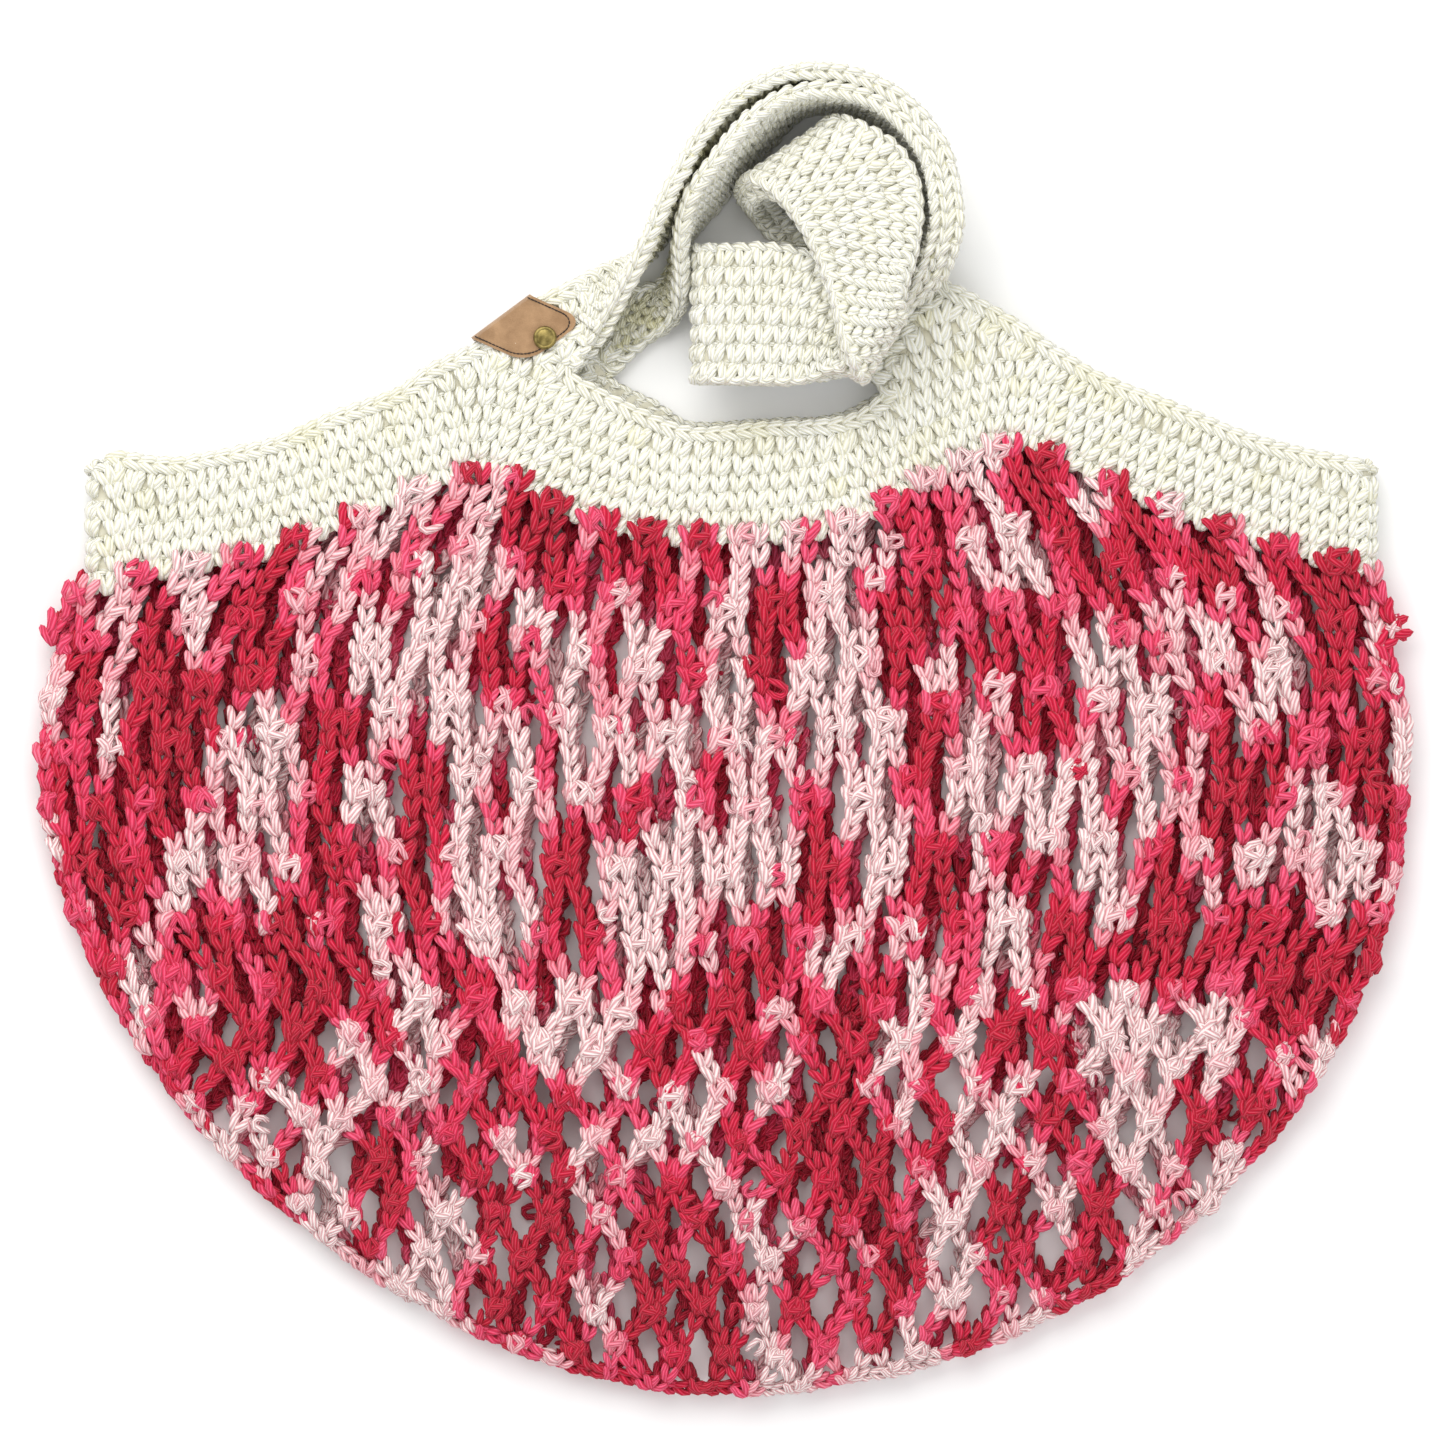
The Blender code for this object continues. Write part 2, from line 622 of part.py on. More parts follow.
def label(finish):
    """Folded tag over the front layer's edge, its leaves above and below the band."""
    heading = Vector((math.cos(TAG_HEADING), math.sin(TAG_HEADING)))
    side = (TAG_FOLD_END - TAG_FOLD_START).normalized()
    top = 2 * BAND_THICK + BAND_INSIDE + TAG_CLEAR + TAG_THICK / 2
    low = BAND_THICK + BAND_INSIDE - TAG_CLEAR - TAG_THICK / 2
    middle, radius = (top + low) / 2, (top - low) / 2
    leaf = []
    for turn in range(TAG_CORNER_STEPS + 1):
        angle = math.pi / 2 * turn / TAG_CORNER_STEPS
        along = TAG_LENGTH - TAG_CORNER * (1 - math.cos(angle))
        leaf.append((along, TAG_CORNER * (1 - math.sin(angle))))
    leaf.append((TAG_STRAIGHT, 0.0))
    rows = [(along, inset, top) for along, inset in leaf]
    for turn in range(1, FOLD_STEPS):
        angle = math.pi * turn / FOLD_STEPS
        bend = radius * TAG_FOLD_DEPTH
        rows.append((bend * (1 - math.sin(angle)), 0.0, middle + radius * math.cos(angle)))
    rows += [(along, inset, low) for along, inset in leaf[::-1]]
    grips, outers = [], []
    for along, inset, level in rows:
        near = TAG_FOLD_START + heading * along + side * inset
        far = TAG_FOLD_END + heading * along - side * inset
        grips.append(Vector((*near, level)))
        outers.append(Vector((*far, level)))
    return ribbon("label", sections(grips, outers), TAG_THICK, TAG_EDGE, finish)


def rivet(finish):
    """Rivet through the tag and the band: a domed cap, a post and a flat cap."""
    top = 2 * BAND_THICK + BAND_INSIDE + TAG_CLEAR + TAG_THICK + SEAM_GAP
    low = BAND_THICK + BAND_INSIDE - TAG_CLEAR - TAG_THICK - SEAM_GAP
    profile = [
        (part.radius * RIVET_CAP_RADIUS, level + part.height * RIVET_CAP_HEIGHT)
        for cap, level in ((UPPER_CAP, top), (LOWER_CAP, low))
        for part in cap
    ]
    post = len(UPPER_CAP)
    profile[post:post] = [(RIVET_POST_RADIUS, top), (RIVET_POST_RADIUS, low)]
    points = [(*RIVET_PLACE, profile[0][1]), (*RIVET_PLACE, profile[-1][1])]
    for radius, level in profile[1:-1]:
        for turn in range(RIVET_SIDES):
            angle = math.tau * turn / RIVET_SIDES
            out = RIVET_PLACE + Vector((math.cos(angle), math.sin(angle))) * radius
            points.append((*out, level))
    faces = []
    rounds = len(profile) - 2
    for at in range(rounds - 1):
        above, below = 2 + at * RIVET_SIDES, 2 + (at + 1) * RIVET_SIDES
        for start, end in ring(RIVET_SIDES):
            faces.append([above + start, above + end, below + end, below + start])
    for start, end in ring(RIVET_SIDES):
        faces.append([0, 2 + end, 2 + start])
        bottom = 2 + (rounds - 1) * RIVET_SIDES
        faces.append([1, bottom + start, bottom + end])
    return solid("rivet", points, faces, finish)


def rivet_cutter():
    """Cylinder that opens the rivet's hole."""
    bpy.ops.mesh.primitive_cylinder_add(
        vertices=RIVET_HOLE_SIDES,
        radius=RIVET_HOLE_RADIUS,
        depth=RIVET_CUT_DEPTH,
        location=(*RIVET_PLACE, RIVET_CUT_MIDDLE),
    )
    cutter = bpy.context.object
    cutter.name = "rivet_cutter"
    cutter.hide_render = True
    cutter.display_type = "WIRE"
    return cutter


def cut(piece, cutter):
    """Boolean cut that stays live on its object."""
    hole = piece.modifiers.new("rivet_hole", "BOOLEAN")
    hole.operation = "DIFFERENCE"
    hole.solver = "EXACT"
    hole.object = cutter


def build():
    """Whole bag."""
    for old in list(bpy.data.objects):
        bpy.data.objects.remove(old)
    net_body(PINK)
    sleeve_band = band(CREAM)
    strap("strap_front", FRONT_ROOT, FRONT_END, 1, CREAM_FRONT)
    strap("strap_back", BACK_ROOT, BACK_END, -1, CREAM_BACK)
    tag = label(SUEDE)
    rivet(BRASS)
    cutter = rivet_cutter()
    cut(sleeve_band, cutter)
    cut(tag, cutter)


build()
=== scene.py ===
"""Dresses the mesh market bag: a dyed crochet net, a cream band and two knotted straps.

The bag lies flat on its back layer.  X runs across it, Y from its foot to its straps and Z up.
Lengths in the tables are in millimetres, and every mesh is in metres.
"""

import logging
import math
import random
from dataclasses import dataclass
from enum import Enum
from typing import Iterable, NamedTuple, Sequence

import bmesh
import bpy
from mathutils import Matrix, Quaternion, Vector, noise
from mathutils.geometry import intersect_point_line, tessellate_polygon

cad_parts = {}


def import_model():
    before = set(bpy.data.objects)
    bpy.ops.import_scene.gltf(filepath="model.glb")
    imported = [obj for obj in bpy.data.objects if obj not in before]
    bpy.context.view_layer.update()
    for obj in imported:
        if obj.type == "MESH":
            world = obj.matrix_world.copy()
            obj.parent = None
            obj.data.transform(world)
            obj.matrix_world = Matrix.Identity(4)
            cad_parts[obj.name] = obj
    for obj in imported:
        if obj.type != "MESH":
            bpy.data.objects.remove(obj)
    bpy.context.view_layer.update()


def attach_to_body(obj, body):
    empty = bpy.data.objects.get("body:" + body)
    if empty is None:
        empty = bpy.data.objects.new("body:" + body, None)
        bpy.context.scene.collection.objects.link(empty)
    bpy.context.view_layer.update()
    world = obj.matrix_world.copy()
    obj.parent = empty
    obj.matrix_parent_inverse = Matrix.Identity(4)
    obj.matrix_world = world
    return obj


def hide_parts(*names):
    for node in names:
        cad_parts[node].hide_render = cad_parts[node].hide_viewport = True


MM = 0.001
UP = Vector((0.0, 0.0, 1.0))
LOG = logging.getLogger("market_bag")
Colour = tuple[float, float, float]


class Spot(NamedTuple):
    """Place on an outline, in millimetres."""

    across: float
    up: float


class Row(NamedTuple):
    """Both edges of a strap's cross row and how far apart the straps are, in millimetres."""

    grip_x: float
    grip_y: float
    grip_z: float
    outer_x: float
    outer_y: float
    outer_z: float
    apart: float = 4.2


class LoopRow(NamedTuple):
    """Row of the strap pair round the loop: a bearing in degrees, the rest in millimetres."""

    bearing: float
    height: float
    lean: float
    apart: float


BAND_HEM = (
    Spot(-172, 47), Spot(-142, 52), Spot(-118, 60), Spot(-97, 70), Spot(-82, 75),
    Spot(-73, 78), Spot(-64, 75), Spot(-49, 66), Spot(-25, 59), Spot(-7, 57),
    Spot(17, 58), Spot(38, 62), Spot(53, 70), Spot(68, 79), Spot(86, 86),
    Spot(101, 81), Spot(116, 73), Spot(134, 66), Spot(155, 58), Spot(179, 51),
)
LEFT_SHOULDER = (
    Spot(-181, 83), Spot(-166, 81), Spot(-153, 83), Spot(-138, 86), Spot(-127, 90),
    Spot(-114, 96), Spot(-97, 102), Spot(-88, 109), Spot(-74.2, 115.4), Spot(-56, 128.4),
    Spot(-43, 135),
)
RIGHT_SHOULDER = (
    Spot(65, 134.5), Spot(78, 128), Spot(89, 121), Spot(101, 113), Spot(113, 106),
    Spot(128, 100), Spot(143, 94), Spot(158, 88), Spot(173, 84), Spot(188, 81),
)
FRONT_GRIP = (
    Spot(-44.6, 110.2), Spot(-47, 107.5), Spot(-37, 102), Spot(-25, 96), Spot(-10, 90.5),
    Spot(11, 92), Spot(32, 93), Spot(42, 96), Spot(48.5, 102),
)
BACK_GRIP = (
    Spot(-37, 131), Spot(-33, 109), Spot(-36, 106.5), Spot(-22, 99), Spot(-10, 92),
    Spot(11, 93), Spot(32, 94), Spot(42, 98), Spot(48.5, 102),
)
FRONT_ROOT = (
    Row(-44.6, 110.2, 10.8, -43, 135.2, 10.8),
    Row(-42.6, 112.8, 10.8, -41, 136.6, 10.8),
    Row(-38, 118, 15, -35.5, 139, 8.5),
    Row(-33, 126, 22, -30, 141, 4.5),
    Row(-25, 141, 32, -23, 144, 1.5),
    Row(-17, 159, 38, -12, 157, 1.2),
)
BACK_ROOT = (
    Row(-33, 109, 1.8, -37, 131, 1.8),
    Row(-30, 112, 1.8, -35, 132, 1.8),
    Row(-24, 117.5, 3, -30, 133, 1.8),
    Row(-15, 123, 8, -22, 133.5, 1.8),
    Row(-12.5, 133, 18, -16.5, 136, 1.8),
    Row(-13, 147, 29, -12.5, 147, 1.5),
    Row(-9.5, 160, 36, -4, 157.5, 1.2),
)
FRONT_END = (
    Row(45.5, 105.5, 10.8, 63.2, 137, 10.8),
    Row(48.5, 102, 10.8, 65, 134.5, 10.8),
)
BACK_END = (
    Row(45.5, 105.5, 1.8, 63.2, 137, 1.8),
    Row(48.5, 102, 1.8, 65, 134.5, 1.8),
)
LOOP = (
    LoopRow(150, 40, 7.0, 8.0),
    LoopRow(125, 40, 7.5, 7.5),
    LoopRow(100, 40, 3.5, 6.0),
    LoopRow(75, 39, 2.5, 5.0),
    LoopRow(50, 38, 2.0, 4.6),
    LoopRow(25, 38, 2.0, 4.6),
    LoopRow(0, 37, 2.0, 4.6),
)
KNOT = (
    Row(65.5, 146.5, 34, 60.5, 147.5, 9, 4.6),
    Row(61.5, 136.5, 27, 51, 141.5, 11.5, 5.6),
    Row(55, 127, 18.8, 36, 145, 13.5, 6.2),
    Row(48, 116.5, 14.5, 28, 145, 13.6, 4.8),
    Row(37, 108, 13.6, 21.5, 142.5, 13.5, 4.3),
    Row(20, 105.5, 13.5, 11, 143.5, 13.5),
    Row(4, 105.2, 13.5, 3, 144, 13.5),
    Row(-0.5, 105.2, 13.5, -1.3, 144.5, 13.5),
    Row(-3.9, 105.2, 14.9, -4.7, 144.6, 14.9),
    Row(-5.3, 105.2, 18.25, -6.1, 144.7, 18.25),
    Row(-3.9, 105.1, 21.6, -4.7, 144.8, 21.6),
    Row(-0.5, 105, 23, -1.3, 144.8, 23),
    Row(4, 105, 23, 3.2, 144.8, 23),
    Row(14, 104.6, 23.2, 14, 145, 23.2),
    Row(24, 105.2, 23.8, 28, 142, 23.8),
    Row(30, 108.5, 24.4, 40, 130.5, 24.6),
    Row(33.9, 109, 24.8, 45.3, 127.3, 25),
    Row(37.5, 106.8, 26.4, 48.9, 125.4, 26.4),
    Row(38.7, 106.1, 30, 50.4, 124.8, 29.8),
    Row(38.2, 107.6, 33.4, 50.9, 127, 33),
    Row(36.6, 112, 35.2, 51.4, 131, 34.5),
    Row(35, 118, 35.5, 53, 135.5, 34.3),
    Row(33.2, 126, 35.5, 55.2, 141, 33.8),
    Row(30, 135, 35.4, 57.2, 148, 33.2),
    Row(26.5, 143.5, 35.4, 58, 157, 32.8),
    Row(22.5, 151, 35.2, 56.5, 166, 32.8),
    Row(17.5, 157.5, 35, 50.5, 174.5, 33),
    Row(12.5, 161.5, 33.4, 42.5, 178.5, 32.8),
    Row(8.3, 162, 29, 35.5, 180, 29),
    Row(5.5, 159, 18.5, 32, 178.5, 18.5),
    Row(8, 155.2, 8, 34.5, 175, 8),
    Row(13.3, 149.2, 4.4, 39.5, 168, 4.4),
    Row(27, 133, 4.2, 51.5, 154, 4.2),
    Row(38, 116.5, 4.2, 58.5, 143, 4.2),
    Row(41.5, 111.5, 4.6, 60.8, 140, 4.6, 4.6),
)


def held(value: float, low: float = 0.0, high: float = 1.0) -> float:
    """Value held between two limits."""
    return min(max(value, low), high)


def linked(name: str, data: bpy.types.ID) -> bpy.types.Object:
    """New object in the scene, at the origin."""
    made = bpy.data.objects.new(name, data)
    bpy.context.scene.collection.objects.link(made)
    return made


def flat_places(spots: Iterable[Spot]) -> list[Vector]:
    """Outline places in metres, as flat vectors."""
    return [Vector(spot) * MM for spot in spots]


def smooth(points: Sequence[Vector], steps: int) -> list[Vector]:
    """Points along a smooth curve through the given ones.

    Args:
        points: Places that the curve passes.
        steps: Stretches of the curve between two places.

    Returns:
        The curve's points, ends included.
    """
    line = [points[0] * 2 - points[1], *points, points[-1] * 2 - points[-2]]
    found = []
    for before, start, end, after in zip(line, line[1:], line[2:], line[3:]):
        for step in range(steps):
            share = step / steps
            square, cube = share**2, share**3
            found.append(
                start * (2 * cube - 3 * square + 1)
                + (end - before) * (0.5 * (cube - 2 * square + share))
                + end * (3 * square - 2 * cube)
                + (after - start) * (0.5 * (cube - square))
            )
    return found + [points[-1].copy()]


def inside(point: Vector, loop: Sequence[Vector]) -> bool:
    """Whether a flat point lies inside a closed outline."""
    crossed = False
    for start, end in zip(loop, [*loop[1:], loop[0]]):
        if (start.y > point.y) != (end.y > point.y):
            share = (point.y - start.y) / (end.y - start.y)
            if point.x < start.x + share * (end.x - start.x):
                crossed = not crossed
    return crossed


def nearest(point: Vector, line: Sequence[Vector]) -> tuple[Vector, float]:
    """Nearest place on a flat line.

    Args:
        point: Flat place.
        line: Corners of an open line.

    Returns:
        The nearest place on the line, and how far it is.
    """
    best, distance = line[0], math.inf
    for start, end in zip(line, line[1:]):
        share = intersect_point_line(point, start, end)[1]
        place = start.lerp(end, held(share))
        if (place - point).length < distance:
            best, distance = place, (place - point).length
    return best, distance


def dense(line: Sequence[Vector], step: float) -> list[Vector]:
    """Same line with points no further apart than a step."""
    found = []
    for start, end in zip(line, line[1:]):
        parts = max(math.ceil((end - start).length / step), 1)
        found += [start.lerp(end, part / parts) for part in range(parts)]
    return found + [line[-1]]


def tangents(line: Sequence[Vector]) -> list[Vector]:
    """Unit directions along a line, one at each of its points."""
    last = len(line) - 1
    return [
        (line[min(at + 1, last)] - line[max(at - 1, 0)]).normalized() for at in range(last + 1)
    ]


class Graph:
    """Adds nodes to one tree, each in one call."""

    def __init__(self, tree: bpy.types.NodeTree) -> None:
        """Keeps the tree that the nodes go into."""
        self.tree = tree

    def node(
        self, kind: str, settings: dict | None = None, inputs: dict | None = None
    ) -> bpy.types.Node:
        """Adds one node.

        Args:
            kind: Node type.
            settings: Properties set first; "stops" gives a ramp's places and colours.
            inputs: Values or links by the socket's name or number.

        Returns:
            The new node.
        """
        made = self.tree.nodes.new(kind)
        for name, value in (settings or {}).items():
            if name == "stops":
                self.set_stops(made.color_ramp, value)
            else:
                setattr(made, name, value)
        for name, value in (inputs or {}).items():
            self.feed(made.inputs[name], value)
        return made

    def feed(self, socket: bpy.types.NodeSocket, value: object) -> None:
        """Links a socket or a wire into a socket, or sets its value."""
        if isinstance(value, Wire):
            value = value.socket
        if isinstance(value, bpy.types.NodeSocket):
            self.tree.links.new(value, socket)
        else:
            socket.default_value = value

    @staticmethod
    def set_stops(ramp: bpy.types.ColorRamp, stops: Sequence[tuple[float, Colour]]) -> None:
        """Gives a ramp its stops."""
        while len(ramp.elements) < len(stops):
            ramp.elements.new(0.5)
        for element, (place, colour) in zip(ramp.elements, stops):
            element.position = place
            element.color = (*colour, 1.0)

    def wire(self, socket: bpy.types.NodeSocket) -> "Wire":
        """Socket as a wire for sums."""
        return Wire(self, socket)

    def blend(
        self, share: object, low: object, high: object, kind: str = "MIX"
    ) -> bpy.types.NodeSocket:
        """Mix of two colours.

        Args:
            share: Part of the second colour, as a wire or a number.
            low: First colour, a link or three numbers.
            high: Second colour, a link or three numbers.
            kind: How the colours combine.

        Returns:
            The mixed colour's socket.
        """
        mix = self.node("ShaderNodeMix", {"data_type": "RGBA", "blend_type": kind})
        self.feed(mix.inputs[0], share)
        for at, colour in ((6, low), (7, high)):
            self.feed(mix.inputs[at], (*colour, 1.0) if isinstance(colour, tuple) else colour)
        return mix.outputs[2]


class Wire:
    """Socket that takes part in Python sums."""

    def __init__(self, graph: Graph, socket: bpy.types.NodeSocket) -> None:
        """Keeps the graph and the socket."""
        self.graph = graph
        self.socket = socket

    def maths(self, operation: str, *values: object) -> "Wire":
        """Result of a Math node on some values."""
        made = self.graph.node("ShaderNodeMath", {"operation": operation})
        for at, value in enumerate(values):
            self.graph.feed(made.inputs[at], value)
        return Wire(self.graph, made.outputs[0])

    def __add__(self, other: object) -> "Wire":
        """Sum."""
        return self.maths("ADD", self, other)

    def __sub__(self, other: object) -> "Wire":
        """Difference."""
        return self.maths("SUBTRACT", self, other)

    def __rsub__(self, other: object) -> "Wire":
        """Difference from a number."""
        return self.maths("SUBTRACT", other, self)

    def __mul__(self, other: object) -> "Wire":
        """Product."""
        return self.maths("MULTIPLY", self, other)

    __radd__ = __add__

    def sine(self) -> "Wire":
        """Sine of an angle in radians."""
        return self.maths("SINE", self)

    def clamped(self) -> "Wire":
        """Value held between nothing and one."""
        return self.maths("MINIMUM", self.maths("MAXIMUM", self, 0.0), 1.0)


class Finish:
    """Material of one kind of surface."""

    name: str

    def start(self) -> tuple[bpy.types.Material, Graph, bpy.types.Node]:
        """New material with its graph and its shader."""
        made = bpy.data.materials.new(self.name)
        made.use_nodes = True
        graph = Graph(made.node_tree)
        return made, graph, made.node_tree.nodes["Principled BSDF"]

    @staticmethod
    def noise(graph: Graph, scale: float, detail: float = 2.0) -> Wire:
        """Even noise on the object's own places."""
        place = graph.node("ShaderNodeTexCoord").outputs["Object"]
        made = graph.node(
            "ShaderNodeTexNoise", {}, {"Vector": place, "Scale": scale, "Detail": detail}
        )
        return graph.wire(made.outputs["Fac"])

    @staticmethod
    def emboss(
        graph: Graph, shader: bpy.types.Node, strength: float, depth: float, height: Wire
    ) -> None:
        """Gives a shader relief of some depth in metres."""
        bump = graph.node(
            "ShaderNodeBump", {}, {"Strength": strength, "Distance": depth, "Height": height}
        )
        graph.feed(shader.inputs["Normal"], bump.outputs["Normal"])


@dataclass(frozen=True)
class YarnFinish(Finish):
    """Cotton yarn of several plies.

    Attributes:
        name: Material name.
        stops: Colours by the stitch's shade.
        groove: Painted shade: the tint that darkens the lines between the plies.
        painted_highlight: Painted highlight: how much paler the plies are on their tops.
        plies: Plies round the yarn.
        slant: Plies that pass along eight millimetres of yarn.
        relief: Depth of the plies in metres.
    """

    name: str
    stops: tuple[tuple[float, Colour], ...]
    groove: Colour
    painted_highlight: float = 0.12
    plies: int = 7
    slant: float = 3.2
    relief: float = 0.00035

    def make(self) -> bpy.types.Material:
        """Material with ply lines, painted shade in their grooves, painted highlights on their
        crests, a soft bloom and a shade for each stitch.
        """
        made, graph, shader = self.start()
        shade = graph.node("ShaderNodeAttribute", {"attribute_name": "shade"})
        ramp = graph.node(
            "ShaderNodeValToRGB", {"stops": self.stops}, {"Fac": shade.outputs["Fac"]}
        )
        along, round_yarn = self.yarn_place(graph)
        lines = ((round_yarn * self.plies + along * self.slant) * math.tau).sine() * 0.5 + 0.5
        fuzz = self.noise(graph, 1400.0, 3.0)
        streak = (self.noise(graph, 320.0) - 0.5) * 0.3
        # Painted shade darkens the ply grooves, broken by random streaks; a painted highlight pales
        # the ply crests.
        groove_shade_mask = (1 - lines * 1.5 + streak).clamped()
        painted_highlight = (lines * 2 - 1.2).clamped() * self.painted_highlight
        pale = graph.blend(painted_highlight, ramp.outputs["Color"], (1.0, 1.0, 1.0))
        groove = graph.blend(1.0, ramp.outputs["Color"], self.groove, "MULTIPLY")
        colour = graph.blend(groove_shade_mask, pale, groove)
        graph.feed(shader.inputs["Base Color"], colour)
        graph.feed(shader.inputs["Roughness"], 0.78 + fuzz * 0.14)
        self.emboss(graph, shader, 0.9, self.relief, lines + fuzz * 0.5)
        shader.inputs["Sheen Weight"].default_value = 0.08
        shader.inputs["Sheen Roughness"].default_value = 0.6
        shader.inputs["Specular IOR Level"].default_value = 0.2
        return made

    def yarn_place(self, graph: Graph) -> tuple[Wire, Wire]:
        """Place along and round the yarn, from the stitch's own map."""
        uv = graph.node("ShaderNodeUVMap", {"uv_map": "yarn"})
        parts = graph.node("ShaderNodeSeparateXYZ", {}, {0: uv.outputs["UV"]})
        return graph.wire(parts.outputs["X"]), graph.wire(parts.outputs["Y"])


@dataclass(frozen=True)
class ClothFinish(Finish):
    """Ground of the crocheted cloth, seen only between its stitches, where its darker colour is
    painted shade.

    Attributes:
        name: Material name.
        colour: Colour of the cloth, darker than the yarn as painted shade.
        shadow: Colour of its patches of shadow.
    """

    name: str
    colour: Colour
    shadow: Colour

    def make(self) -> bpy.types.Material:
        """Material with small soft patches of shadow."""
        made, graph, shader = self.start()
        patches = self.noise(graph, 420.0, 3.0)
        colour = graph.blend((patches * 2.4 - 0.7).clamped(), self.shadow, self.colour)
        graph.feed(shader.inputs["Base Color"], colour)
        shader.inputs["Roughness"].default_value = 0.95
        self.emboss(graph, shader, 0.6, 0.0004, patches)
        return made


@dataclass(frozen=True)
class SuedeFinish(Finish):
    """Tan suede.

    Attributes:
        name: Material name.
        light: Colour of the raised nap.
        dark: Colour of the rubbed nap.
    """

    name: str = "tan_suede"
    light: Colour = (0.41, 0.245, 0.125)
    dark: Colour = (0.29, 0.165, 0.078)

    def make(self) -> bpy.types.Material:
        """Material with a mottled nap and fine pores."""
        made, graph, shader = self.start()
        nap = self.noise(graph, 260.0, 6.0)
        pores = self.noise(graph, 2400.0, 2.0)
        raised = (nap * 2.6 - 0.8 + (pores - 0.5) * 0.8).clamped()
        colour = graph.blend(raised, self.dark, self.light)
        graph.feed(shader.inputs["Base Color"], colour)
        graph.feed(shader.inputs["Roughness"], 0.74 + pores * 0.2)
        shader.inputs["Sheen Weight"].default_value = 0.35
        self.emboss(graph, shader, 0.7, 0.00025, nap * 0.5 + pores)
        return made


@dataclass(frozen=True)
class BrassFinish(Finish):
    """Antique brass with patches of tarnish.

    Attributes:
        name: Material name.
        bright: Colour where it is rubbed.
        aged: Colour of the tarnish.
    """

    name: str = "antique_brass"
    bright: Colour = (0.34, 0.265, 0.095)
    aged: Colour = (0.115, 0.088, 0.028)

    def make(self) -> bpy.types.Material:
        """Material with patches of tarnish and fine scratches."""
        made, graph, shader = self.start()
        tarnish = self.noise(graph, 520.0, 5.0)
        scratches = self.noise(graph, 4200.0, 2.0)
        colour = graph.blend((tarnish * 3.0 - 1.0).clamped(), self.aged, self.bright)
        graph.feed(shader.inputs["Base Color"], colour)
        graph.feed(shader.inputs["Roughness"], 0.24 + tarnish * 0.3 + scratches * 0.06)
        shader.inputs["Metallic"].default_value = 1.0
        self.emboss(graph, shader, 0.3, 0.00008, scratches)
        return made


@dataclass(frozen=True)
class PlainFinish(Finish):
    """Even matt finish of the studio floor."""

    name: str
    colour: Colour
    roughness: float = 0.9

    def make(self) -> bpy.types.Material:
        """Material with a trace of tone."""
        made, graph, shader = self.start()
        tone = self.noise(graph, 3.0)
        darker = tuple(part * 0.985 for part in self.colour)
        graph.feed(shader.inputs["Base Color"], graph.blend(tone, darker, self.colour))
        shader.inputs["Roughness"].default_value = self.roughness
        return made


# The third value tints the ply grooves as painted shade, and the last one pales the ply crests as
# painted highlight.
DYED_YARN = YarnFinish(
    "variegated_yarn",
    (
        (0.0, (0.56, 0.001, 0.034)),
        (0.31, (0.70, 0.004, 0.058)),
        (0.40, (0.86, 0.050, 0.150)),
        (0.57, (0.92, 0.105, 0.225)),
        (0.66, (0.98, 0.56, 0.60)),
        (0.9, (0.99, 0.84, 0.82)),
    ),
    (0.72, 0.40, 0.44),
    painted_highlight=0.07,
)
# Shades below 0.35 turn yellow-olive as painted shade, which the straps' inner faces use; the third
# value tints the ply grooves as painted shade.
CREAM_YARN = YarnFinish(
    "cream_yarn",
    ((0.0, (0.82, 0.80, 0.58)), (0.35, (0.90, 0.895, 0.82)), (1.0, (0.93, 0.932, 0.90))),
    (0.86, 0.84, 0.70),
)
# The ground cloth is darker and yellower than the yarn: painted shade in the gaps between stitches.
SHADED_CREAM_GROUND = ClothFinish("cream_ground", (0.70, 0.68, 0.56), (0.56, 0.53, 0.41))
# The third value tints the ply grooves as painted shade.
THREAD = YarnFinish(
    "tag_thread", ((0.0, (0.030, 0.012, 0.008)), (1.0, (0.060, 0.026, 0.016))), (0.5, 0.5, 0.5)
)


@dataclass(frozen=True)
class Lobe:
    """Rounded loop of yarn in a stitch.

    Attributes:
        line: Middles of its rings, in millimetres.
        radius: Yarn radius in millimetres.
        sides: Sides round the yarn.
    """

    line: tuple[tuple[float, float, float], ...]
    radius: float
    sides: int = 5

    def mirrored(self) -> "Lobe":
        """Same loop on the other side of the stitch's middle line."""
        return Lobe(tuple((x, -y, z) for x, y, z in self.line), self.radius, self.sides)

    def swapped(self) -> "Lobe":
        """Same loop mirrored left to right."""
        return Lobe(tuple((-x, y, z) for x, y, z in self.line), self.radius, self.sides)

    def rings(self) -> list[tuple[list[Vector], float]]:
        """Rings from one rounded tip to the other, with their places along the yarn."""
        middles = [Vector(point) * MM for point in self.line]
        ways = tangents(middles)
        radius = self.radius * MM
        found = [([middles[0] - ways[0] * radius * 0.75], -radius * 0.75)]
        along = 0.0
        for at, (middle, way) in enumerate(zip(middles, ways)):
            along += (middle - middles[max(at - 1, 0)]).length
            side = way.cross(UP).normalized()
            rise = side.cross(way).normalized()
            end = at in (0, len(middles) - 1)
            reach = radius * (0.78 if end else 1.0)
            ring = []
            for turn in range(self.sides):
                angle = math.tau * turn / self.sides
                ring.append(middle + (side * math.cos(angle) + rise * math.sin(angle)) * reach)
            found.append((ring, along))
        found.append(([middles[-1] + ways[-1] * radius * 0.75], along + radius * 0.75))
        return found


